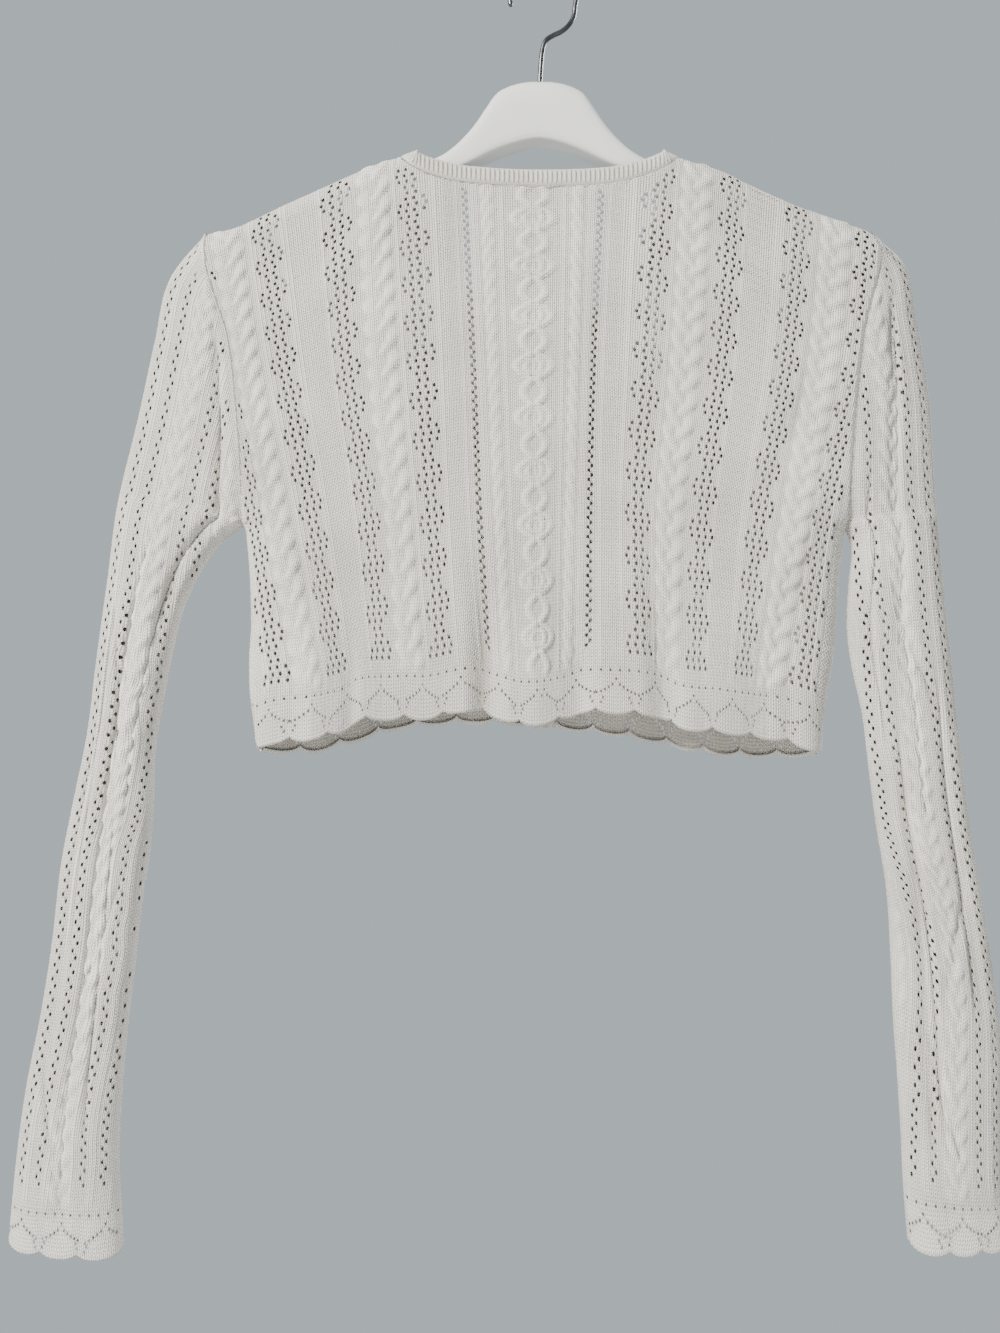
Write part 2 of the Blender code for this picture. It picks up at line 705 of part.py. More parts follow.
def relief_fade(body, x, z, row):
    """Cables flatten towards the top seam, the border and the side seams."""
    from_seam = abs(body.edge(z, x > 0) - x) / RELIEF_EDGE
    from_border = (ROWS - row) / RELIEF_ROWS + BORDER_RELIEF
    return eased(min(from_seam, row / RELIEF_ROWS, from_border))


def add_border_row(wall, body, step, limits, outer):
    """Add a row of the lace border. The last one follows the scallops."""
    hem = along(body.hem, 0.0)
    low = limits[0] if limits[0] is not None else body.edge(hem, False)
    high = limits[1] if limits[1] is not None else body.edge(hem, True)
    last = step == BORDER_ROWS
    thickness = WALL * (HEM_THICKNESS if last else 1.0) if outer else 0.0
    points = []
    keys = []
    for x, drop in scallop_places(low, high):
        foot = along(body.hem, x)
        z = mixed(foot + BORDER_DEPTH, foot - drop, step / BORDER_ROWS)
        if x in (low, high) and x not in limits:
            right = x == high
            tip = Vector((body.edge(z, right), body.side * SEAM, z))
            out = Vector((1.0 if right else -1.0, 0, 0))
        else:
            tip = body.point(x, z)
            out = body.normal(x, z)
        points.append(tip + out * thickness)
        keys.append(x)
    wall.row(wall.outer if outer else wall.inner, points, keys)


class Sleeve:
    """Shape of one flattened sleeve. Its place across runs from 0 at the outer fold to 1 at the inner."""

    def __init__(self, hand, table, right):
        self.hand = hand
        self.table = table
        self.right = right
        self.outward = 1.0 if right else -1.0
        self.lengths = self.shares()

    def shares(self):
        """Shares of the length at the table's rows."""
        gone = [0.0]
        for one, other in zip(self.table, self.table[1:]):
            outer = math.hypot(other[0] - one[0], other[1] - one[1])
            inner = math.hypot(other[2] - one[2], other[3] - one[3])
            gone.append(gone[-1] + outer + inner)
        return [value / gone[-1] for value in gone]

    def value(self, share, column):
        """A column of the table at a share of the length."""
        rows = [(place, row[column]) for place, row in zip(self.lengths, self.table)]
        return along(rows, share)

    def crease(self, share, across):
        """How far the long creases take the cloth inwards."""
        depth = 0.0
        for place, start, end, half_width, deep in SLEEVE_CREASES[self.hand]:
            run = eased((share - start) / CREASE_RUN)
            if end < 1:
                run *= eased((end - share) / CREASE_RUN)
            depth += deep * run * hump(across - place, half_width)
        return depth

    def point(self, share, across, side):
        """Point of the inside surface, on the back half at side -1 and the front half at side 1."""
        wall = self.outward * WALL * eased(share / SEAM_RUN)
        outer = Vector((self.value(share, 0) - wall, 0, self.value(share, 1)))
        inner = Vector((self.value(share, 2) + wall, 0, self.value(share, 3)))
        seam = armhole_point(across * UNDERARM_ROW, self.right)
        top = self.table[0]
        straight = Vector((mixed(top[0], top[2], across), 0, mixed(top[1] - WALL, top[3], across)))
        base = outer.lerp(inner, across)
        fade = 1 - eased(share / SLEEVE_SEAM_SHARE)
        bow = (Vector((seam.x, 0, seam.z)) - straight) * fade
        half = self.value(share, 4) * (1 - abs(2 * across - 1) ** SLEEVE_FULLNESS) ** 0.5
        depth = mixed(half, -seam.y, fade) - self.crease(share, across) * (1 - fade)
        place = base + bow
        if share == 0:
            place = Vector((seam.x + self.outward * SEAM, 0, seam.z))
        place.y = side * depth if 0 < across < 1 else 0.0
        return place

    def run(self, share, across, side):
        """Direction down the sleeve."""
        step = 0.01
        low, high = max(share - step, 0.0), min(share + step, 1.0)
        return self.point(high, across, side) - self.point(low, across, side)

    def normal(self, share, across, side):
        """Direction out of the cloth."""
        if share == 0:
            out = armhole_normal(across * UNDERARM_ROW, self.right)
            return Vector((out.x, out.y * -side, out.z))
        if across in (0.0, 1.0):
            run = self.run(share, across, side)
            out = Vector((run.z, 0, -run.x)).normalized()
            wanted = self.outward if across == 0.0 else -self.outward
            return out if out.x * wanted > 0 else -out
        step = 0.012
        low, high = max(across - step, 0.0), min(across + step, 1.0)
        over = self.point(share, high, side) - self.point(share, low, side)
        out = over.cross(self.run(share, across, side)).normalized()
        return out if out.y * side >= 0 else -out


def sleeve_places(plain, cables):
    """Places across half a sleeve with the relief there, closer where it turns and over its cables."""
    places = [(share, None) for share in plain]
    for place, half_width in cables:
        for share, steps in SLEEVE_BRAID:
            places.append((place + share * half_width, steps))
    return sorted(places, key=lambda item: item[0])


def ring_places(outer):
    """Places all round a sleeve: across, side, relief and place along the ring from 0 to 2."""
    if outer:
        back = sleeve_places(SLEEVE_BACK_PLACES, SLEEVE_BACK_CABLES)
        front = sleeve_places(SLEEVE_FRONT_PLACES, SLEEVE_FRONT_CABLES)
    else:
        back = sleeve_places(SLEEVE_INNER_PLACES, ())
        front = back
    ring = [(across, -1, steps, across) for across, steps in back]
    for across, steps in reversed(front):
        if 0.0 < across < 1.0:
            ring.append((across, 1, steps, 2 - across))
    return ring


def seam_ring():
    """Places all round the armhole, where the body's rows end."""
    ring = [(row / UNDERARM_ROW, -1, None, row / UNDERARM_ROW) for row in range(UNDERARM_ROW + 1)]
    front = set(range(FRONT_STEP, UNDERARM_ROW, FRONT_STEP)) | {1, UNDERARM_ROW - 1}
    for row in sorted(front, reverse=True):
        ring.append((row / UNDERARM_ROW, 1, None, 2 - row / UNDERARM_ROW))
    return ring


def cuff_ring(hem):
    """Places all round the cuff, with the scallops' depth on its last ring."""
    ring = []
    for index in range(CUFF_SCALLOPS):
        for step in SCALLOP_STEPS:
            place = 2 * (index + step) / CUFF_SCALLOPS
            across, side = (place, -1) if place <= 1 else (2 - place, 1)
            ring.append((across, side, lobe(step) if hem else None, place))
    return ring


def build_sleeve(hand, table, right, collection):
    """A sleeve: a flattened tube with braids on its outside and a scalloped cuff, in two lengths."""
    sleeve = Sleeve(hand, table, right)
    length = sum(abs(b[1] - a[1]) for a, b in zip(table, table[1:]))
    cuff = 1 - CUFF_DEPTH / length
    gap = SEAM / length
    for part in ("upper", "lower"):
        wall = Wall("sleeve_" + hand + "_" + part)
        rows = range(1, ELBOW_ROW + 1) if part == "upper" else range(ELBOW_ROW, SLEEVE_ROWS + 1)
        for outer in (True, False):
            if part == "upper":
                add_ring(wall, sleeve, 0.0, seam_ring(), outer, 0)
            for row in rows:
                share = cuff * row / SLEEVE_ROWS
                if row == ELBOW_ROW:
                    share += -gap if part == "upper" else gap
                if outer or row < SLEEVE_TOP_ROWS or row % SLEEVE_INNER_STEP == 0:
                    add_ring(wall, sleeve, share, ring_places(outer), outer, row)
            for step in CUFF_ROWS if part == "lower" else ():
                add_ring(wall, sleeve, mixed(cuff, 1.0, step), cuff_ring(step == 1.0), outer, 0)
        wall.close(tube=True)
        wall.build(collection, COLOURS["knit"])


def add_ring(wall, sleeve, share, places, outer, row):
    """Add one ring of a sleeve to the outer or inner layer."""
    points = []
    keys = []
    hem = share == 1.0
    for across, side, relief, place in places:
        point = sleeve.point(share, across, side)
        out = sleeve.normal(share, across, side)
        height = 0.0
        if row and relief:
            fade = eased(row / 3) * eased((SLEEVE_ROWS + 1 - row) / 2)
            height = CABLE_HEIGHT * relief[row % len(relief)] * fade
        if side > 0:
            point.z -= CUFF_DROP[sleeve.hand] * eased((share - 0.8) / 0.2) * hump(across - 0.5, 0.5)
        if hem:
            point.z -= SCALLOP_DEPTH * relief
        if outer:
            point = point + out * (WALL * (HEM_THICKNESS if hem else 1.0) + height)
        points.append(point)
        keys.append(place)
    layer = wall.outer if outer else wall.inner
    wall.row(layer, points, keys)
    layer[-1].append((2.0, layer[-1][0][1]))


def neck_path():
    """The neckline from centre front left, round the back, to centre front right, with its frames."""
    back = Body(-1)
    front = Body(1)
    frames = []
    back_xs = neck_places(back)
    front_xs = neck_places(front)
    left = [x for x in front_xs if NECK_LEFT < x < CENTRE_FRONT - FRONT_BAND_WIDTH - 2]
    right = [x for x in front_xs if CENTRE_FRONT + FRONT_BAND_WIDTH + 2 < x < NECK_RIGHT]
    edge_left = CENTRE_FRONT - FRONT_BAND_WIDTH - 2 * SEAM
    edge_right = CENTRE_FRONT + FRONT_BAND_WIDTH + 2 * SEAM
    frames.extend(frame_at(front, x) for x in [edge_left] + list(reversed(left)))
    frames.extend(frame_at(back, x) for x in back_xs)
    frames.extend(frame_at(front, x) for x in list(reversed(right)) + [edge_right])
    return frames


def frame_at(body, x):
    """Point of a panel's top edge, the direction out of the cloth and the one up along the trim."""
    z = body.top(x)
    point = body.point(x, z)
    out = body.normal(x, z)
    if x in (NECK_LEFT, NECK_RIGHT):
        point.y = 0.0
    inward = 1.0 if x < CENTRE_FRONT else -1.0
    near = min(x - NECK_LEFT, NECK_RIGHT - x)
    if body.side < 0:
        share = eased(near / BAND_TURN)
        rise = Vector((inward * (1 - share), 0, mixed(0.35, 1.0, share)))
    else:
        step = 0.5
        run = body.top(min(x + step, NECK_RIGHT)) - body.top(max(x - step, NECK_LEFT))
        rise = Vector((-run, 0, 2 * step)).normalized()
    if abs(x - CENTRE_FRONT) < FRONT_BAND_WIDTH + 1.0:
        rise = Vector((0, 0, 1))
    return point, out, rise.normalized()


def doubled(frames):
    """The frames with one more halfway between each two, so that ribs rise and fall."""
    path = []
    for one, other in zip(frames, frames[1:]):
        out = (one[1] + other[1]).normalized()
        rise = (one[2] + other[2]).normalized()
        path.append(one)
        path.append(((one[0] + other[0]) / 2, out, rise))
    path.append(frames[-1])
    return path


def build_neck_band(collection):
    """The ribbed trim round the neckline: a strip whose outside rises and falls along its length."""
    wall = Wall("neck_band")
    path = doubled(neck_path())
    for index, (point, out, rise) in enumerate(path):
        thickness = BAND_WALL + (BAND_RIB_HEIGHT if index % 2 else 0.0)
        low = point + rise * 3 * SEAM
        high = low + rise * BAND_HEIGHT
        wall.ring((low, low + out * thickness, high + out * thickness, high))
    wall.cap()
    return wall.build(collection, COLOURS["knit"])


def build_front_band(name, right, collection):
    """The narrow trim along one front edge, from the neck trim's top to the hem."""
    wall = Wall(name)
    body = Body(1)
    outward = 1 if right else -1
    near = CENTRE_FRONT + outward * SEAM * 2
    far = CENTRE_FRONT + outward * FRONT_BAND_WIDTH
    top = FRONT_NECK_Z + BAND_HEIGHT
    foot = along(body.hem, CENTRE_FRONT) - SCALLOP_DEPTH
    for index in range(FRONT_BAND_ROWS + 1):
        z = mixed(top, foot, index / FRONT_BAND_ROWS)
        depth = body.point(CENTRE_FRONT, min(z, FRONT_NECK_Z)).y
        crest = Vector(((near + far) / 2, depth + BAND_WALL + FRONT_BAND_CROWN, z))
        wall.ring((
            Vector((near, depth, z)),
            Vector((near, depth + BAND_WALL, z)),
            crest,
            Vector((far, depth + BAND_WALL, z)),
            Vector((far, depth, z)),
        ))
    wall.cap()
    return wall.build(collection, COLOURS["knit"])


def hanger_sections():
    """Sections of the hanger from left to right: x, top, bottom, half thickness and roundness."""
    body = Body(-1)
    sections = []
    for outward in (-1, 1):
        half = [(HANGER_X + outward * row[0], *row[1:]) for row in HANGER]
        for distance, height, thick in HANGER_ARMS:
            x = HANGER_X + outward * distance
            shoulder = min(x, NECK_LEFT) if outward < 0 else max(x, NECK_RIGHT)
            top = body.top(shoulder) - HANGER_GAP
            half.append((x, top, top - height, thick, 1.0))
        sections.append(half)
    return list(reversed(sections[0][1:])) + sections[1]


def build_hanger(collection):
    """The hanger: rounded sections lofted from one arm's tip to the other's."""
    wall = Wall("hanger")
    table = hanger_sections()
    for index in range(HANGER_SECTIONS + 1):
        share = index / HANGER_SECTIONS
        even = (1 - HANGER_CROWDING) * share
        crowded = HANGER_CROWDING * (1 - math.cos(math.pi * share)) / 2
        x = mixed(table[0][0], table[-1][0], even + crowded)
        top, foot, thick, roundness = (along(table, x, column) for column in (1, 2, 3, 4))
        points = []
        for step in range(HANGER_SIDES):
            turn = 2 * math.pi * step / HANGER_SIDES
            up = math.copysign(abs(math.cos(turn)) ** roundness, math.cos(turn))
            over = math.copysign(abs(math.sin(turn)) ** roundness, math.sin(turn))
            points.append(Vector((x, thick * over, (top + foot) / 2 + (top - foot) / 2 * up)))
        wall.ring(points)
    wall.cap()
    return wall.build(collection, COLOURS["lacquer"])


def hook_points():
    """Middle line of the hook's wire, from the hanger up and over the bend."""
    stem = [Vector((x, 0, z)) for x, z in STEM]
    middle = -BEND_RADIUS + WIRE_RADIUS
    bend = []
    for index in range(BEND_STEPS + 1):
        turn = math.radians(mixed(BEND_FROM, BEND_TO, index / BEND_STEPS))
        bend.append(Vector((BEND_RADIUS * math.cos(turn), 0, middle + BEND_RADIUS * math.sin(turn))))
    return stem + bend


def build_hook(collection):
    """The hook: a steel wire bent over, as a curve with filled caps."""
    curve = bpy.data.curves.new("hanger_hook", "CURVE")
    curve.dimensions = "3D"
    curve.bevel_depth = WIRE_RADIUS * MM
    curve.bevel_resolution = 1
    curve.use_fill_caps = True
    path = hook_points()
    spline = curve.splines.new("POLY")
    spline.points.add(len(path) - 1)
    for target, point in zip(spline.points, path):
        target.co = (*(point * MM), 1.0)
    return add_object("hanger_hook", curve, collection, COLOURS["steel"], 0.35, 0.9)


def build_cardigan():
    """Build every piece of the garment and what holds it."""
    for item in list(bpy.data.objects):
        bpy.data.objects.remove(item)
    collection = bpy.data.collections.new("cropped cardigan")
    bpy.context.scene.collection.children.link(collection)
    back_rows = list(TOP_ROWS) + list(range(2, ROWS + 1))
    front_rows = list(TOP_ROWS) + sorted(set(range(FRONT_STEP, ROWS + 1, FRONT_STEP)) | set(UNDERARM_ROWS))
    build_panel("back", Body(-1), panel_columns(BACK_WALES), back_rows, (None, None), collection)
    left_columns = panel_columns(FRONT_WALES, -1, CENTRE_FRONT)
    right_columns = panel_columns(FRONT_WALES, 1, CENTRE_FRONT)
    left_limit = CENTRE_FRONT - FRONT_BAND_WIDTH - 2 * SEAM
    right_limit = CENTRE_FRONT + FRONT_BAND_WIDTH + 2 * SEAM
    build_panel("front_left", Body(1), left_columns, front_rows, (None, left_limit), collection)
    build_panel("front_right", Body(1), right_columns, front_rows, (right_limit, None), collection)
    build_sleeve("left", SLEEVE_LEFT, False, collection)
    build_sleeve("right", SLEEVE_RIGHT, True, collection)
    build_neck_band(collection)
    build_front_band("front_band_left", False, collection)
    build_front_band("front_band_right", True, collection)
    build_hanger(collection)
    build_hook(collection)


build_cardigan()
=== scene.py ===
"""Looks of a cropped cable and pointelle cardigan that hangs on a shaped hanger.

Each cloth piece is a thin shell on its solid's form. Its mesh is a lattice of wales and courses, fine
enough to carry the cables, ribs and seed stitch as relief and the eyelets as real holes. Sizes are in
millimetres until a mesh is made. The garment's back faces -Y, and +X is on the right of the back.
"""

import logging
import math
from dataclasses import dataclass, field
from enum import Enum

import bmesh
import bpy
import numpy as np
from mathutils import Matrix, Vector


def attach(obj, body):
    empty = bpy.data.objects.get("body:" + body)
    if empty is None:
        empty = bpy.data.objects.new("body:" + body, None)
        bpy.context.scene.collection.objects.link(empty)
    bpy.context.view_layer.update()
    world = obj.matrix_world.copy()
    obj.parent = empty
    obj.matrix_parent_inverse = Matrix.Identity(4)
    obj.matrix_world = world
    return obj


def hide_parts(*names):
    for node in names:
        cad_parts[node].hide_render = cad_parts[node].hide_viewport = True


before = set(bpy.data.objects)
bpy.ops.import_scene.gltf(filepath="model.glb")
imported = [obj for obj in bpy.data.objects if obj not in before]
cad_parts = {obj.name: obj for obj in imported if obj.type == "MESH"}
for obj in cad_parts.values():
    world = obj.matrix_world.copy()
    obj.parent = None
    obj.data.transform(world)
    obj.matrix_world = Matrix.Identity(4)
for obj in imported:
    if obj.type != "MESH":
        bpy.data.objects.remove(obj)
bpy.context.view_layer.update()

LOG = logging.getLogger("cardigan")

Table = tuple
Array = np.ndarray


class Side(Enum):
    """Which half of the flat garment a piece belongs to."""

    BACK = -1
    FRONT = 1


class Hand(Enum):
    """Which side of the middle a piece lies on, for someone who looks at the back."""

    LEFT = -1
    RIGHT = 1


MM = 0.001
SEAM = 0.04  # half of the gap between two pieces that are sewn together
WALL = 1.7  # thickness of the plain knit
CENTRE_FRONT = 2.0
FRONT_BAND_WIDTH = 6.6

# The lattice: spacing of its columns and of its rows. A wale and a course are two of each.
COLUMN = 1.05
ROW = 1.43
BODY_ROWS = 235
ROW_STRETCH = 0.13  # how much taller the lower rows hang than the upper ones
BORDER_ROWS = 17
BORDER_DEPTH = 25.0
SEAM_GAP = 0.7  # how far the lattice stops short of the seams, where end points take over
NECK_GAP = 0.4  # and of the neckline
LATTICE_PASSES = 5  # rounds in which a row's heights and its places across settle
SEAM_PASSES = 8  # the same for its end on a seam
TOP_TURN = (0.0, 0.08, 0.22, 0.45, 0.72)  # rows close together where the cloth turns over the hanger

# Body: depth of its hollow and how it rounds over the hanger and round the sides
BODY_DEPTH = 13.0
TOP_ROUND = 13.0
SIDE_ROUND = 24.0
UNDERARM_ROUND = 46.0
NECK_ROUND = 9.0
NECK_RISE = 11.0  # how far the courses arch above the neck points between them

SCALLOP_PITCH = 24.0
SCALLOP_DEPTH = 4.6
SCALLOP_PUFF = 0.5
HEM_Z = -470.0
HALF_WIDTH = 200.0  # how far out the lattice is made, before the side seam cuts it off

# The turned edge below a scallop: share of the wall's thickness, and how far up, for each row from the last
TURN_RAISED = (1.0, 0.35, -0.25)
TURN_LIFT = (0.0, 0.25, 2.2)

# Relief, and the bands of ribs and seed stitch by their distance from the middle or from the outer fold
CABLE_HEIGHT = 1.95
SLEEVE_CABLE_HEIGHT = CABLE_HEIGHT * 0.85
BODY_RIB_HEIGHT = SLEEVE_RIB_HEIGHT = 0.6
BODY_SEED_HEIGHT = 0.4
SLEEVE_SEED_HEIGHT = 0.35
HOLE_RIM_SHADE = -0.25  # painted shade round an eyelet: its rim points are marked this far below the plain knit, so the knit material darkens them
BODY_RIBS = ((13.2, 15.4), (25.4, 29.6), (38.8, 41.0), (51.2, 53.4), (69.6, 71.4), (92.6, 94.2),
             (107.6, 111.0), (125.6, 128.4), (141.8, 145.6), (167.8, 168.9), (178.4, 181.6))
BODY_SEED = ((15.5, 18.0), (41.1, 51.0), (111.2, 125.4), (181.8, 200.0))
SLEEVE_RIBS = ((2.0, 5.0), (12.6, 16.0), (24.6, 27.6), (41.6, 44.0), (52.0, 56.0), (64.0, 66.6), (81.6, 84.0),
               (92.0, 95.0))
SLEEVE_SEED = ((103.0, 200.0),)

# Shoulder line, outside: x, z
SHOULDER_LEFT = ((-208, -167.0), (-195, -165.0), (-184, -161.0), (-161, -150.0), (-141, -141.0),
                 (-119, -131.0), (-97, -122.0), (-89, -120.0))
SHOULDER_RIGHT = ((85, -121.0), (109, -128.0), (126, -136.5), (153, -148.5), (171, -155.0),
                  (185, -160.5), (195, -163.5), (202, -167.0))
NECK_LEFT = -89.0
NECK_RIGHT = 85.0

# Back neckline, at the seam under the trim: x, z
BACK_NECK = ((-89, -121.7), (-80, -129.5), (-66, -135.5), (-45, -139.8), (-2, -142.0), (38, -140.5),
             (60, -136.0), (76, -129.0), (85, -122.7))

# Front neckline, as shares of the way from the neck point to the centre: across, down
FRONT_NECK = ((0.0, 0.0), (0.045, 0.14), (0.13, 0.36), (0.28, 0.62), (0.50, 0.84), (0.76, 0.965),
              (1.0, 1.0))
FRONT_NECK_Z = -228.0

# Armhole seam and side seam: z, left x, right x
ARMHOLE = ((-167, -207.0, 201.0), (-180, -206.5, 204.5), (-193, -205.0, 203.5), (-211, -199.5, 199.0),
           (-233, -192.5, 194.0), (-270, -188.0, 190.0), (-310, -185.0, 187.0), (-345, -185.0, 187.0))
SIDE = ((-345, -184.6, 187.2), (-367, -182.5, 184.5), (-386, -181.4, 182.8), (-407, -181.0, 181.4),
        (-430, -182.2, 179.6), (-447, -182.0, 176.6), (-462, -180.4, 174.2), (-492, -176.0, 171.6))
UNDERARM_Z = -345.0
LEAD_IN = 14.0  # how far down the sleeve its first rows are turned to meet the seam's top

# Hem, along the valleys between the scallops: x, z
BACK_HEM = ((-180, -483.0), (-166, -477.0), (-144, -474.5), (-125, -470.5), (-112, -463.5), (-90, -462.0),
            (-69, -461.5), (-46, -457.0), (-28, -461.0), (-12, -465.5), (9, -463.0), (25, -458.0),
            (50, -458.5), (71, -461.5), (84, -467.5), (108, -470.0), (124, -472.5), (146, -475.5),
            (173, -485.0))
FRONT_HEM = ((-180, -483.0), (-150, -485.0), (-129, -481.0), (-108, -474.5), (-87, -469.0), (-40, -466.0),
             (0, -468.0), (9, -469.5), (39, -473.0), (59, -476.0), (79, -480.0), (98, -484.0),
             (122, -487.0), (148, -487.5), (173, -485.0))

# Heights at which the wales' places are given, and x of each wale there by its distance s from the centre
WALE_Z = (-156.0, -249.0, -342.0, -440.0)
BACK_WALES = {Hand.RIGHT: (
    (0.0, (-6.0, -6.0, -4.8, -3.0)),
    (21.5, (21.2, 19.1, 16.1, 13.1)),
    (34.0, (35.2, 30.3, 28.2, 27.9)),
    (48.0, (47.9, 44.3, 41.9, 43.1)),
    (61.5, (69.1, 62.5, 56.4, 57.9)),
    (82.0, (91.9, 86.1, 76.4, 76.1)),
    (100.5, (114.0, 107.0, 95.8, 91.6)),
    (119.0, (132.8, 126.7, 113.4, 106.1)),
    (135.0, (155.8, 146.7, 130.4, 120.1)),
    (157.0, (178.3, 168.6, 152.8, 135.8)),
    (172.0, (197.7, 189.2, 168.6, 156.4)),
    (200.0, (229.0, 221.0, 199.0, 184.0)),
), Hand.LEFT: (
    (0.0, (-6.0, -6.0, -4.8, -3.0)),
    (21.5, (-34.8, -30.9, -26.7, -21.2)),
    (34.0, (-48.2, -43.3, -39.4, -33.0)),
    (48.0, (-60.0, -56.4, -53.3, -46.7)),
    (61.5, (-79.4, -73.3, -66.7, -60.9)),
    (82.0, (-102.1, -97.3, -88.5, -79.4)),
    (100.5, (-124.9, -119.1, -105.5, -97.9)),
    (119.0, (-149.1, -138.2, -124.3, -110.9)),
    (135.0, (-169.8, -157.0, -139.4, -124.9)),
    (157.0, (-195.2, -181.3, -163.1, -140.6)),
    (172.0, (-214.6, -193.4, -175.2, -160.7)),
    (200.0, (-244.0, -223.0, -204.0, -189.0)),
)}
# Of a front: distance from the centre front at each height
FRONT_WALES = (
    (0.0, (0.0, 0.0, 0.0, 0.0)),
    (34.0, (36.0, 34.0, 31.0, 27.0)),
    (50.0, (60.0, 58.0, 54.0, 50.0)),
    (82.0, (97.0, 92.0, 84.0, 78.0)),
    (119.0, (141.0, 133.0, 120.0, 109.0)),
    (157.0, (187.0, 175.0, 158.0, 139.0)),
    (200.0, (232.0, 222.0, 201.0, 182.0)),
)

# Soft folds of the body, outward where positive: x at the hem, half width, height of cloth, depth
BACK_FOLDS = ((-136.0, 20.0, 120.0, 3.4), (-118.0, 9.0, 70.0, -2.4), (-35.0, 15.0, 95.0, -7.5),
              (-6.0, 18.0, 130.0, 3.6), (21.0, 14.0, 80.0, -4.6), (72.0, 14.0, 90.0, -5.2),
              (88.0, 9.0, 60.0, 1.6), (106.0, 24.0, 140.0, 3.0), (150.0, 12.0, 90.0, -2.0))
FRONT_FOLDS = ((-120.0, 22.0, 130.0, 2.4), (-62.0, 20.0, 110.0, -2.0), (48.0, 20.0, 130.0, 2.2),
               (92.0, 20.0, 120.0, -2.2), (134.0, 22.0, 140.0, 2.4))

# Slanting soft ridges and troughs: x and z of both ends, half width, depth
BACK_DRAGS = ((-184.0, -310.0, -128.0, -440.0, 15.0, 1.8), (-170.0, -235.0, -120.0, -330.0, 13.0, -1.6),
              (178.0, -300.0, 120.0, -430.0, 16.0, 2.0), (176.0, -225.0, 132.0, -345.0, 12.0, -1.8),
              (-92.0, -150.0, -150.0, -230.0, 14.0, 1.3), (88.0, -150.0, 148.0, -240.0, 14.0, 1.4),
              (-60.0, -330.0, -40.0, -450.0, 12.0, 1.5), (50.0, -340.0, 62.0, -450.0, 11.0, 1.4))
FRONT_DRAGS = ((-180.0, -300.0, -100.0, -430.0, 16.0, 1.8), (176.0, -290.0, 104.0, -440.0, 15.0, 1.7),
               (-95.0, -170.0, -140.0, -270.0, 13.0, -1.4), (92.0, -165.0, 146.0, -260.0, 14.0, -1.5),
               (-30.0, -260.0, -70.0, -420.0, 12.0, 1.3), (34.0, -255.0, 62.0, -400.0, 12.0, 1.2))

# Sleeve outlines on the body's middle plane: outer x, outer z, inner x, inner z, half depth
SLEEVES = {Hand.LEFT: (
    (-207.0, -167.0, -185.0, -345.0, 9.0),
    (-231.0, -194.0, -199.5, -357.0, 11.0),
    (-240.5, -233.0, -213.0, -376.0, 12.5),
    (-251.0, -281.0, -223.5, -400.0, 12.5),
    (-263.0, -331.0, -229.5, -424.0, 12.0),
    (-269.7, -381.0, -235.0, -452.0, 11.5),
    (-276.0, -426.0, -240.5, -486.0, 11.0),
    (-282.0, -474.0, -241.5, -517.0, 10.5),
    (-291.0, -518.0, -243.7, -548.0, 10.0),
    (-298.5, -557.0, -248.5, -580.0, 10.0),
    (-304.0, -605.0, -252.0, -611.0, 10.0),
    (-311.0, -649.0, -256.5, -648.0, 10.0),
    (-320.0, -694.0, -260.5, -690.0, 10.0),
    (-326.0, -738.0, -262.8, -736.0, 10.5),
    (-330.5, -786.0, -261.0, -779.0, 11.5),
), Hand.RIGHT: (
    (201.0, -167.0, 187.0, -345.0, 9.0),
    (224.0, -187.0, 191.3, -362.0, 11.0),
    (231.0, -219.0, 189.4, -382.0, 12.0),
    (239.0, -268.0, 188.2, -405.0, 12.5),
    (242.5, -322.0, 191.5, -433.0, 12.0),
    (247.0, -377.0, 198.0, -463.0, 11.5),
    (252.0, -424.0, 202.0, -496.0, 11.0),
    (257.0, -473.0, 206.5, -531.0, 10.5),
    (262.5, -520.0, 212.8, -572.0, 10.0),
    (270.0, -567.0, 215.3, -610.0, 10.0),
    (277.5, -615.0, 217.0, -650.0, 10.0),
    (282.5, -656.0, 219.5, -684.0, 10.0),
    (284.0, -705.0, 221.6, -716.0, 10.0),
    (283.5, -745.0, 223.5, -754.0, 11.0),
    (287.0, -786.0, 226.0, -783.0, 12.5),
)}
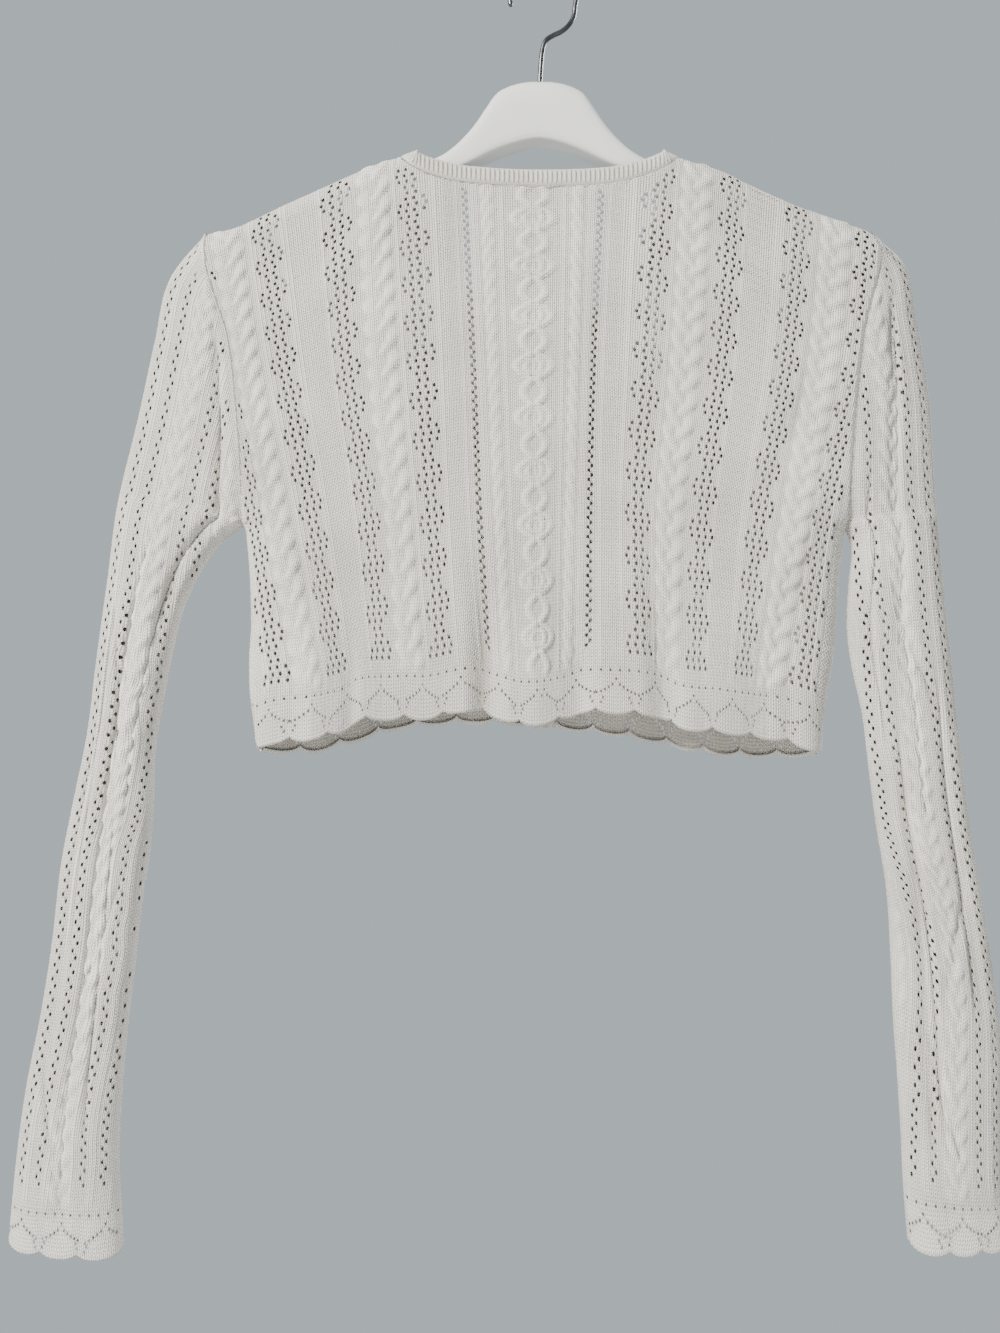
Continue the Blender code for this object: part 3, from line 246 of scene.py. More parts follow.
# Long creases of the sleeves: place across, from and to as shares of the length, half width, depth, and
# how far across they wander over a whole length
SLEEVE_CREASES = {
    Hand.LEFT: ((0.50, 0.30, 1.00, 0.14, 2.4, 0.0), (0.18, 0.45, 0.85, 0.10, 1.4, 0.1),
                (0.82, 0.06, 0.40, 0.12, 2.0, 0.0), (0.46, 0.26, 0.94, 0.05, 2.2, 0.1),
                (0.78, 0.10, 0.55, 0.05, 1.4, -0.3), (0.24, 0.30, 0.70, 0.05, 1.2, 0.2),
                (0.66, 0.52, 0.90, 0.06, 1.5, 0.3), (0.40, 0.34, 0.50, 0.08, 1.6, 2.6),
                (0.62, 0.60, 0.76, 0.07, 1.3, -2.8), (0.30, 0.78, 0.94, 0.08, 1.4, 2.2)),
    Hand.RIGHT: ((0.52, 0.05, 0.45, 0.14, 2.3, 0.0), (0.22, 0.45, 0.80, 0.12, 2.0, 0.0),
                 (0.74, 0.50, 0.95, 0.12, 2.2, 0.1), (0.48, 0.08, 0.58, 0.05, 2.0, 0.2),
                 (0.68, 0.45, 0.93, 0.05, 1.8, -0.2), (0.25, 0.40, 0.80, 0.05, 1.5, 0.2),
                 (0.82, 0.20, 0.50, 0.05, 1.3, 0.3), (0.45, 0.30, 0.46, 0.08, 1.6, -2.6),
                 (0.40, 0.62, 0.80, 0.08, 1.6, 2.4), (0.60, 0.80, 0.95, 0.07, 1.4, -2.2)),
}

# Hanger: distance from its middle, top z, bottom z, half thickness, roundness (1 is an ellipse)
HANGER_X = -2.0
HANGER = (
    (0.0, -72.5, -110.0, 9.0, 0.7),
    (11.0, -73.2, -111.8, 9.0, 0.7),
    (20.0, -75.8, -114.6, 9.0, 0.7),
    (27.0, -80.0, -117.4, 9.0, 0.7),
    (33.0, -88.5, -120.2, 9.0, 0.7),
    (41.0, -100.2, -124.2, 9.0, 0.75),
    (51.0, -111.0, -129.0, 8.8, 0.8),
    (62.0, -118.6, -134.2, 8.4, 0.9),
)
# Its arms under the cloth: distance from its middle, height, half thickness
HANGER_ARMS = ((76.0, 18.0, 8.0), (90.0, 19.0, 8.0), (110.0, 20.0, 8.0), (135.0, 20.0, 7.8),
               (160.0, 19.0, 7.4), (180.0, 17.0, 6.6), (192.0, 12.0, 5.0))
HANGER_GAP = 0.7

WIRE_RADIUS = 1.5
BEND_RADIUS = 20.5
BEND_FROM = -14.0
BEND_TO = 196.0
STEM = ((-2.0, -72.1), (-1.4, -62.0), (-0.4, -52.0), (1.6, -45.8), (6.0, -42.6), (11.4, -40.0), (16.0, -36.0),
        (19.0, -30.6))


def slope(keys: list, values: list, index: int) -> float:
    """Slope of a smooth curve at a row of its table, flat where the values turn round.

    Args:
        keys: Places of the rows, rising.
        values: Values of the rows.
        index: The row.

    Returns:
        The slope there.
    """
    low, high = max(index - 1, 0), min(index + 1, len(keys) - 1)
    if high - low == 2 and (values[index] - values[low]) * (values[high] - values[index]) < 0:
        return 0.0
    return (values[high] - values[low]) / (keys[high] - keys[low])


def curve_of(rows: Table, column: int = 1, spacing: float = 0.5) -> tuple:
    """A table's column as a dense smooth curve.

    Args:
        rows: Rows whose first column is the place.
        column: The column of values.
        spacing: Distance between the places of the dense curve.

    Returns:
        The places and the values there, as arrays.
    """
    rows = sorted(rows, key=lambda row: row[0])
    keys = [row[0] for row in rows]
    values = [row[column] for row in rows]
    places = np.linspace(keys[0], keys[-1], max(int((keys[-1] - keys[0]) / spacing), 2) + 1)
    found = np.empty_like(places)
    for index in range(len(keys) - 1):
        span = keys[index + 1] - keys[index]
        inside = (places >= keys[index]) & (places <= keys[index + 1])
        share = (places[inside] - keys[index]) / span
        start = slope(keys, values, index) * span
        end = slope(keys, values, index + 1) * span
        square = share * share
        cube = square * share
        found[inside] = (
            (2 * cube - 3 * square + 1) * values[index]
            + (cube - 2 * square + share) * start
            + (3 * square - 2 * cube) * values[index + 1]
            + (cube - square) * end
        )
    return places, found


def eased(share: Array) -> Array:
    """0 to 1 with level ends."""
    share = np.clip(share, 0.0, 1.0)
    return share * share * (3 - 2 * share)


def rounded(share: Array) -> Array:
    """Height of a quarter circle at a share of its radius from its edge."""
    share = np.clip(share, 0.0, 1.0)
    return np.sqrt(1 - (1 - share) ** 2)


def hump(distance: Array, half_width: float) -> Array:
    """A soft hump, 1 in the middle and 0 at its half width."""
    return eased(1 - np.abs(distance) / half_width)


def strand(distance: Array, half_width: float) -> Array:
    """Round top of a strand of yarns, 1 on its middle line and 0 at its edges."""
    return np.sqrt(np.clip(1 - (distance / half_width) ** 2, 0.0, 1.0))


def lobe(place: Array) -> Array:
    """Depth of a row of scallops, one to each whole number: 1 at a crest and 0 in a valley."""
    return strand(2 * np.mod(place, 1.0) - 1, 1.0)


def seam_depth(z: Array) -> Array:
    """Half the depth of the armhole at a height, 0 at the shoulder and from the underarm down."""
    drop = rounded((ARMHOLE[0][0] - WALL - z) / TOP_ROUND)
    return BODY_DEPTH * drop * rounded((z - UNDERARM_Z) / UNDERARM_ROUND)


def linear(code: str) -> tuple:
    """A colour's linear red, green, blue and alpha from its sRGB hex value."""
    parts = [int(code[place:place + 2], 16) / 255 for place in (1, 3, 5)]
    return (*(part / 12.92 if part <= 0.04045 else ((part + 0.055) / 1.055) ** 2.4 for part in parts), 1.0)


def show(name: str, data: bpy.types.ID) -> bpy.types.Object:
    """Put a mesh, light or camera in the scene as an object.

    Args:
        name: The object's name.
        data: What it shows.

    Returns:
        The object.
    """
    item = bpy.data.objects.new(name, data)
    bpy.context.scene.collection.objects.link(item)
    return item


@dataclass(frozen=True)
class Hole:
    """An eyelet on the lattice.

    Its corner is the lowest row and column of its block of cells, and its size is in cells. Width and
    height are how much of the block it takes.
    """

    row: int
    column: int
    size: int = 2
    width: float = 0.8
    height: float = 0.86


@dataclass
class Stitches:
    """The knitted pattern: relief over the plain knit, and the eyelets.

    Distances s are in millimetres from the middle of the piece, and rows are lattice rows from its top.
    """

    diamond_rows: int = 18
    diamond_start: int = 9
    diamond: tuple = ((-6, -2, 2, 6), (-5, -1, 3, 7), (-2, 2, 6), (-1, 3), (-2, 2), (-5, -1, 3))
    crossing: float = 22.4  # rows of one repeat of the lozenge cable
    crossing_start: float = 63.1
    lozenge_reach: tuple = (9.2, 6.0)  # half widths of the large and the small lozenges
    lozenge_strand: float = 2.4
    braid_rows: float = 32.4
    braid_swing: float = 5.7
    braid_strand: float = 3.1
    braids: tuple = ((82.0, 0), (157.0, 9))  # distance of each from the middle, rows that it is ahead
    rope_rows: float = 16.0
    rope_swing: float = 1.7
    rope_strand: float = 1.9
    rope_height: float = 1.3
    rope_place: float = 21.5

    def braid(self, across: Array, row: Array) -> Array:
        """Relief of a plait of three strands.

        Args:
            across: Distances from its middle line.
            row: Rows.

        Returns:
            Heights, 1 at most.
        """
        turn = 2 * np.pi * row / self.braid_rows
        best = np.zeros(np.broadcast(across, row).shape)
        for index in range(3):
            phase = turn + 2 * np.pi * index / 3
            height = strand(across - self.braid_swing * np.sin(phase), self.braid_strand)
            best = np.maximum(best, height * (0.6 - 0.4 * np.sin(2 * phase)))
        return best

    def rope(self, across: Array, row: Array) -> Array:
        """Relief of a rope of two strands.

        Args:
            across: Distances from its middle line.
            row: Rows.

        Returns:
            Heights, 1 at most.
        """
        turn = 2 * np.pi * row / self.rope_rows
        best = np.zeros(np.broadcast(across, row).shape)
        for index in range(2):
            phase = turn + np.pi * index
            height = strand(across - self.rope_swing * np.sin(phase), self.rope_strand)
            best = np.maximum(best, height * (0.7 + 0.3 * np.cos(phase)))
        return best

    def lozenges(self, across: Array, row: Array) -> Array:
        """Relief of the middle cable: two strands that cross and part, with a ring in each large lozenge.

        Args:
            across: Distances from its middle line.
            row: Rows.

        Returns:
            Heights, 1 at most.
        """
        place = (row - self.crossing_start) / self.crossing + 0.25
        half = np.floor(place * 2)
        share = place * 2 - half
        large = np.mod(half, 2) == 0
        reach = np.where(large, *self.lozenge_reach) * np.sin(np.pi * share) ** 0.8
        over = 0.82 + 0.18 * np.cos(2 * np.pi * share)
        left, right = (strand(across + way * reach, self.lozenge_strand) for way in (1, -1))
        height = np.maximum(right, left * 0.9) * over
        inner = np.clip((share - 0.16) / 0.68, 0.0, 1.0)
        ring = 4.3 * np.sin(np.pi * inner) ** 0.7
        eye = np.maximum(strand(across - ring, 1.6), strand(across + ring, 1.6)) * 0.75
        eye = np.maximum(eye, strand(across, 0.9) * 0.35)
        inside = large & (inner > 0) & (inner < 1)
        return np.maximum(height, np.where(inside, eye, 0.0))

    def ribs(self, s: Array, column: Array, bands: tuple) -> Array:
        """Thin ribs on every second column, within bands.

        Args:
            s: Distances from the middle of the piece.
            column: Columns.
            bands: Where each band starts and ends.

        Returns:
            Heights, 1 on a rib.
        """
        best = np.zeros(np.broadcast(s, column).shape)
        ridge = np.where(np.mod(column, 2) == 0, 1.0, 0.0)
        for start, end in bands:
            best = np.maximum(best, np.where((s >= start) & (s <= end), ridge, 0.0))
        return best

    def seed(self, s: Array, column: Array, row: Array, bands: tuple) -> Array:
        """Seed stitch within bands: bumps on alternate points of the lattice.

        Args:
            s: Distances from the middle of the piece.
            column: Columns.
            row: Rows.
            bands: Where each band starts and ends.

        Returns:
            Heights, 1 on a bump.
        """
        best = np.zeros(np.broadcast(s, column, row).shape)
        bump = np.where(np.mod(column + row, 2) == 0, 1.0, -0.6)
        for start, end in bands:
            best = np.where((s >= start) & (s <= end), bump, best)
        return best

    def body_relief(self, column: Array, row: Array, offset: float, middle: bool) -> Array:
        """Relief of a body panel in millimetres.

        Args:
            column: Columns counted from the middle.
            row: Rows counted from the top.
            offset: Distance of column 0 from the middle.
            middle: Whether the panel has the middle cable.

        Returns:
            Heights over the plain knit.
        """
        s = np.abs(column * COLUMN + offset)
        height = self.rope_height * self.rope(s - self.rope_place, row)
        if middle:
            height = np.maximum(height, CABLE_HEIGHT * self.lozenges(s, row))
        for place, ahead in self.braids:
            height = np.maximum(height, CABLE_HEIGHT * self.braid(s - place, row + ahead))
        height = height + BODY_RIB_HEIGHT * self.ribs(s, column, BODY_RIBS)
        return height + BODY_SEED_HEIGHT * self.seed(s, column, row, BODY_SEED)

    def diamond_holes(self, centre: int, first: int, last: int) -> list:
        """Eyelets of one column of diamonds.

        Args:
            centre: Column of its middle line.
            first: First row.
            last: Last row.

        Returns:
            The holes.
        """
        start = self.diamond_start % self.diamond_rows - self.diamond_rows
        holes = []
        for step, row in enumerate(range(start, last - 1, 3)):
            if row >= first:
                places = self.diamond[step % len(self.diamond)]
                holes.extend(Hole(row, centre + place - 1, 2, 0.72, 0.95) for place in places)
        return holes

    def zigzag_holes(self, centre: int, first: int, last: int) -> list:
        """Eyelets of one zigzag line, turn by turn on each side of its middle column, as a list."""
        return [Hole(row, centre - 2 if step % 2 else centre, 2, 0.88, 0.74)
                for step, row in enumerate(range(first, last - 2, 2))]

    def slit_holes(self, centre: int, first: int, last: int) -> list:
        """Narrow eyelets of one sleeve column, two beside each other and half a step apart, as a list."""
        return [Hole(row + down, centre + over, 2, 0.64, 0.95)
                for row in range(first, last - 6, 6) for down, over in ((0, -2), (3, 0))]

    def border_holes(self, valleys: list, first: int) -> list:
        """Eyelets of a scalloped border.

        Args:
            valleys: Columns of the valleys between the scallops.
            first: Row of the border's top.

        Returns:
            The holes: a row along the top, and two lines from each crest down to its valleys.
        """
        holes = [Hole(first, column, 1, 1.15, 0.9) for column in range(min(valleys) + 1, max(valleys) - 1, 5)]
        for left, right in zip(valleys, valleys[1:]):
            crest = (left + right) // 2
            holes.append(Hole(first + 3, crest, 1, 1.15, 0.9))
            for step in range(1, 6):
                holes.extend(Hole(first + 4 + step, crest + over * step, 1, 1.2, 0.9) for over in (-2, 2))
            for inward, column in ((1, left), (-1, right)):
                holes.append(Hole(first + 10, column + 3 * inward, 1, 1.2, 0.7))
                holes.append(Hole(first + 12, column + 2 * inward, 1, 1.2, 0.7))
        return holes


@dataclass
class Cloth:
    """A shell of cloth: lattice rows of points, with end points on the seams, and its holes."""

    name: str
    flip: bool
    points: list = field(default_factory=list)
    knit: list = field(default_factory=list)
    faces: list = field(default_factory=list)

    def add(self, places: Array, across: Array, along: Array, raised: Array = 0.0) -> Array:
        """Add points with their knit coordinates.

        Args:
            places: Positions, one row each.
            across: Distance of each across the knit.
            along: Distance of each along the knit.
            raised: Height of each over the plain knit, which the knit material also uses for painted shade
                where it is low.

        Returns:
            The indices of the new points.
        """
        first = sum(len(block) for block in self.points)
        self.points.append(places)
        plain = np.zeros(len(places))
        self.knit.append(np.stack([plain + across, plain + along, plain + raised], axis=-1))
        return np.arange(first, first + len(places))

    def face(self, corners: tuple) -> None:
        """Add a face, turned to face outwards."""
        self.faces.append(tuple(reversed(corners)) if self.flip else corners)

    def strip(self, one: list, other: list) -> None:
        """Fill the strip between two rows of points, which may differ in number.

        Args:
            one: Place and index of each point of the upper row.
            other: The same of the lower row.
        """
        left, right = 0, 0
        while left < len(one) - 1 or right < len(other) - 1:
            if right == len(other) - 1:
                upper = True
            elif left == len(one) - 1:
                upper = False
            else:
                upper = one[left][0] + one[left + 1][0] <= other[right][0] + other[right + 1][0]
            after = one[left + 1][1] if upper else other[right + 1][1]
            self.face((one[left][1], other[right][1], after))
            left, right = left + upper, right + (not upper)

    def lattice(self, index: Array, holes: list, start: list, end: list) -> None:
        """Fill the cells of a lattice, leave out its holes, and fill the strips to its end points.

        Args:
            index: Point indices by row and column, -1 where there is none.
            holes: The eyelets.
            start: For each row, the end point before the first column, or -1.
            end: For each row, the end point after the last column, or -1.
        """
        self.points = [np.concatenate(self.points)]
        self.knit = [np.concatenate(self.knit)]
        taken = self.cut(index, holes)
        known = index >= 0
        full = known[:-1, :-1] & known[1:, :-1] & known[:-1, 1:] & known[1:, 1:]
        for row, column in zip(*np.nonzero(full & ~taken)):
            self.face((int(index[row, column]), int(index[row + 1, column]),
                       int(index[row + 1, column + 1]), int(index[row, column + 1])))
        for row in range(len(index) - 1):
            self.ends(index, row, start, end)

    def ends(self, index: Array, row: int, start: list, end: list) -> None:
        """Fill the strips between the lattice and the end points of a row and the next.

        Args:
            index: Point indices by row and column.
            row: The upper row.
            start: For each row, the end point before the first column, or -1.
            end: For each row, the end point after the last column, or -1.
        """
        steps = (row, row + 1)
        found = [[(int(column), int(index[step, column])) for column in np.nonzero(index[step] >= 0)[0]]
                 for step in steps]
        if not all(found):
            for points, step in zip(found, steps):
                if start[step] >= 0:
                    points.insert(0, (points[0][0] - 1 if points else -1, start[step]))
                if end[step] >= 0:
                    points.append((points[-1][0] + 1 if points else 0, end[step]))
            if all(found):
                self.strip(*found)
            return
        last = min(points[-1][0] for points in found)
        first = max(points[0][0] for points in found)
        right, left = [], []
        for points, step in zip(found, steps):
            tail = [point for point in points if point[0] >= last]
            head = [point for point in points if point[0] <= first]
            right.append(tail + [(tail[-1][0] + 1, end[step])] * (end[step] >= 0))
            left.append([(head[0][0] - 1, start[step])] * (start[step] >= 0) + head)
        self.strip(*right)
        self.strip(*left)

    def cut(self, index: Array, holes: list) -> Array:
        """Mark the cells of each hole, draw the points round it in to an oval, and mark them low for painted
        shade.

        Args:
            index: Point indices by row and column.
            holes: The eyelets.

        Returns:
            For each cell, whether it is part of a hole.
        """
        places, knit = self.points[0], self.knit[0]
        taken = np.zeros((index.shape[0] - 1, index.shape[1] - 1), dtype=bool)
        for hole in holes:
            row, column, size = hole.row, hole.column, hole.size
            block = index[max(row - 1, 0):row + size + 2, max(column - 1, 0):column + size + 2]
            cells = taken[max(row, 0):row + size, max(column, 0):column + size]
            if block.shape != (size + 3, size + 3) or (block < 0).any() or cells.any():
                continue
            cells[:] = True
            rim = block[1:-1, 1:-1]
            middle = places[[rim[0, 0], rim[0, -1], rim[-1, 0], rim[-1, -1]]].mean(axis=0)
            corner = 0.72 * (hole.width + hole.height) / 2 if size > 1 else hole.width * 0.8
            for (down, over), point in np.ndenumerate(rim):
                edge_down, edge_over = down in (0, size), over in (0, size)
                if edge_down or edge_over:
                    factor = corner if edge_down and edge_over else hole.height if edge_down else hole.width
                    places[point] = middle + (places[point] - middle) * factor
                    # painted shade: the rim is marked low, and the knit material darkens it
                    knit[point, 2] = HOLE_RIM_SHADE
        return taken

    def join(self, parts: list) -> None:
        """Take in the points and faces of other cloths, which meet edge to edge.

        Args:
            parts: The other cloths.
        """
        for part in parts:
            first = sum(len(block) for block in self.points)
            self.points.extend(part.points)
            self.knit.extend(part.knit)
            self.faces.extend(tuple(corner + first for corner in face) for face in part.faces)

    def build(self) -> bpy.types.Object:
        """Make the mesh object, in metres, with the knit coordinates as its UV map.

        Returns:
            The object.
        """
        places = np.concatenate(self.points) * MM
        knit = (np.concatenate(self.knit) * MM).astype(np.float32)
        mesh = bpy.data.meshes.new(self.name)
        mesh.from_pydata(places.tolist(), [], self.faces)
        corners = np.empty(len(mesh.loops), dtype=np.int32)
        mesh.loops.foreach_get("vertex_index", corners)
        mesh.uv_layers.new(name="knit").data.foreach_set("uv", knit[corners, :2].ravel())
        # the knit material paints shade where this height is low
        mesh.attributes.new("raised", "FLOAT", "POINT").data.foreach_set("value", knit[:, 2].copy())
        shape = bmesh.new()
        shape.from_mesh(mesh)
        bmesh.ops.remove_doubles(shape, verts=shape.verts, dist=0.02 * MM)
        bmesh.ops.delete(shape, geom=[vert for vert in shape.verts if not vert.link_faces], context="VERTS")
        shape.to_mesh(mesh)
        shape.free()
        mesh.shade_smooth()
        return show(self.name, mesh)


@dataclass
class BodyForm:
    """Form of the hollow body on one side: outlines, depth and folds."""

    side: Side

    def __post_init__(self) -> None:
        """Make the dense curves of the outlines."""
        self.hem = curve_of(BACK_HEM if self.side is Side.BACK else FRONT_HEM)
        self.folds = BACK_FOLDS if self.side is Side.BACK else FRONT_FOLDS
        self.drags = BACK_DRAGS if self.side is Side.BACK else FRONT_DRAGS
        self.neck = curve_of(self.neckline())
        self.left_shoulder = curve_of(SHOULDER_LEFT)
        self.right_shoulder = curve_of(SHOULDER_RIGHT)
        self.edges = {}
        for hand, column in ((Hand.LEFT, 1), (Hand.RIGHT, 2)):
            self.edges[hand] = (curve_of(ARMHOLE, column), curve_of(SIDE, column))

    def neckline(self) -> Table:
        """Find this side's neckline.

        Returns:
            Its points x, z from left to right.
        """
        if self.side is Side.BACK:
            return BACK_NECK
        left, right = ([(x + (CENTRE_FRONT - x) * over, z + (FRONT_NECK_Z - z) * down)
                        for over, down in FRONT_NECK] for x, z in (BACK_NECK[0], BACK_NECK[-1]))
        return tuple(left + right[-2::-1])

    def shoulder(self, x: Array) -> Array:
        """Height of the top fold's inside, arched above the neck points between them.

        Args:
            x: Places across.

        Returns:
            The heights.
        """
        left = np.interp(x, *self.left_shoulder) - WALL
        right = np.interp(x, *self.right_shoulder) - WALL
        share = np.clip((x - NECK_LEFT) / (NECK_RIGHT - NECK_LEFT), 0.0, 1.0)
        arch = BACK_NECK[0][1] + (BACK_NECK[-1][1] - BACK_NECK[0][1]) * share
        arch = arch + NECK_RISE * (1 - (2 * share - 1) ** 2)
        return np.where(x <= NECK_LEFT, left, np.where(x >= NECK_RIGHT, right, arch))

    def top(self, x: Array) -> Array:
        """Height of the panel's top edge, on its inside."""
        open_neck = (x > NECK_LEFT) & (x < NECK_RIGHT)
        return np.where(open_neck, np.interp(x, *self.neck), self.shoulder(x))

    def bottom(self, x: Array) -> Array:
        """Height of the border's top edge."""
        return np.interp(x, *self.hem) + BORDER_DEPTH

    def edge(self, z: Array, hand: Hand) -> Array:
        """Inside of the armhole or side seam.

        Args:
            z: Heights.
            hand: Which seam.

        Returns:
            Its x.
        """
        armhole, side = self.edges[hand]
        lower = np.interp(z, *side) - hand.value * WALL * eased((UNDERARM_Z - z) / 6.0)
        return np.where(z > UNDERARM_Z, np.interp(z, *armhole), lower)

    def depth(self, x: Array, z: Array) -> Array:
        """Distance of the inside from the middle plane, folds included.

        Args:
            x: Places across.
            z: Heights.

        Returns:
            The distances.
        """
        edge = np.where(x > 0, self.edge(z, Hand.RIGHT), self.edge(z, Hand.LEFT))
        shoulder = rounded((self.top(x) - z) / TOP_ROUND)
        neck = rounded(np.minimum(x - NECK_LEFT, NECK_RIGHT - x) / NECK_ROUND)
        shoulder = shoulder + (1 - shoulder) * neck
        side = rounded(np.abs(edge - x) / SIDE_ROUND)
        side = side + (1 - side) * rounded((z - UNDERARM_Z) / UNDERARM_ROUND)
        plain = BODY_DEPTH * shoulder * side
        return np.maximum(plain + self.fold(x, z) * eased(plain / BODY_DEPTH), SEAM)

    def fold(self, x: Array, z: Array) -> Array:
        """How far the soft folds move the cloth outwards.

        Args:
            x: Places across.
            z: Heights.

        Returns:
            The distances.
        """
        moved = np.zeros(np.broadcast(x, z).shape)
        foot = np.interp(x, *self.hem)
        for place, half_width, height, deep in self.folds:
            moved = moved + deep * eased(1 - (z - foot) / height) * hump(x - place, half_width)
        for x_one, z_one, x_two, z_two, half_width, deep in self.drags:
            run_x, run_z = x_two - x_one, z_two - z_one
            size = run_x ** 2 + run_z ** 2
            along = ((x - x_one) * run_x + (z - z_one) * run_z) / size
            aside = ((x - x_one) * run_z - (z - z_one) * run_x) / math.sqrt(size)
            moved = moved + deep * hump(along - 0.5, 0.55) * hump(aside, half_width)
        return moved

    def place(self, x: Array, z: Array, raised: Array) -> Array:
        """Points of the cloth, a distance out of its inside surface.

        Args:
            x: Places across.
            z: Heights.
            raised: Distance out of the inside surface.

        Returns:
            The positions, with a last axis of three.
        """
        step = 0.6
        sign = self.side.value
        depth = self.depth(x, z)
        over = (self.depth(x + step, z) - self.depth(x - step, z)) / (2 * step)
        down = (depth - self.depth(x, z - step)) / step
        normal = np.stack(np.broadcast_arrays(-over, sign * np.ones_like(depth), -down), axis=-1)
        normal /= np.linalg.norm(normal, axis=-1, keepdims=True)
        base = np.stack(np.broadcast_arrays(x, sign * depth, z), axis=-1)
        return base + normal * np.asarray(raised)[..., None]

    def seam(self, z: Array, hand: Hand, raised: float) -> Array:
        """Points along the armhole or side seam, a distance out of the inside surface.

        Args:
            z: Heights.
            hand: Which seam.
            raised: Distance out of the inside surface.

        Returns:
            The positions, a row each.
        """
        step = 0.5
        depth = seam_depth(z)
        above = z > UNDERARM_Z
        out_x = np.where(above, 0.0, hand.value)
        out_y = np.where(above, self.side.value, 0.0)
        out_z = np.where(above, (seam_depth(z - step) - depth) / step, 0.0)
        reach = raised / np.sqrt(out_x ** 2 + out_y ** 2 + out_z ** 2)
        inward = np.where(above, -hand.value * SEAM, 0.0)
        y = self.side.value * np.maximum(depth, SEAM)
        x = self.edge(z, hand) + inward
        return np.stack([x + out_x * reach, y + out_y * reach, z + out_z * reach], axis=-1)


def wale_map(wales: Table, distances: Array) -> tuple:
    """Places of lattice columns by height.

    Args:
        wales: Rows of a distance and its x at each height of WALE_Z.
        distances: Distances of the columns from the middle.

    Returns:
        Heights, rising, and x by height and column.
    """
    heights = np.linspace(-520.0, -100.0, 211)
    above = heights > WALE_Z[0]
    found = np.empty((len(heights), len(wales)))
    for index, (_distance, places) in enumerate(wales):
        found[:, index] = np.interp(heights, *curve_of(tuple(zip(WALE_Z, places)), 1, 2.0))
        rise = (places[0] - places[1]) / (WALE_Z[0] - WALE_Z[1])
        found[above, index] = places[0] + rise * (heights[above] - WALE_Z[0])
    keys = [row[0] for row in wales]
    return heights, np.array([np.interp(distances, keys, row) for row in found])


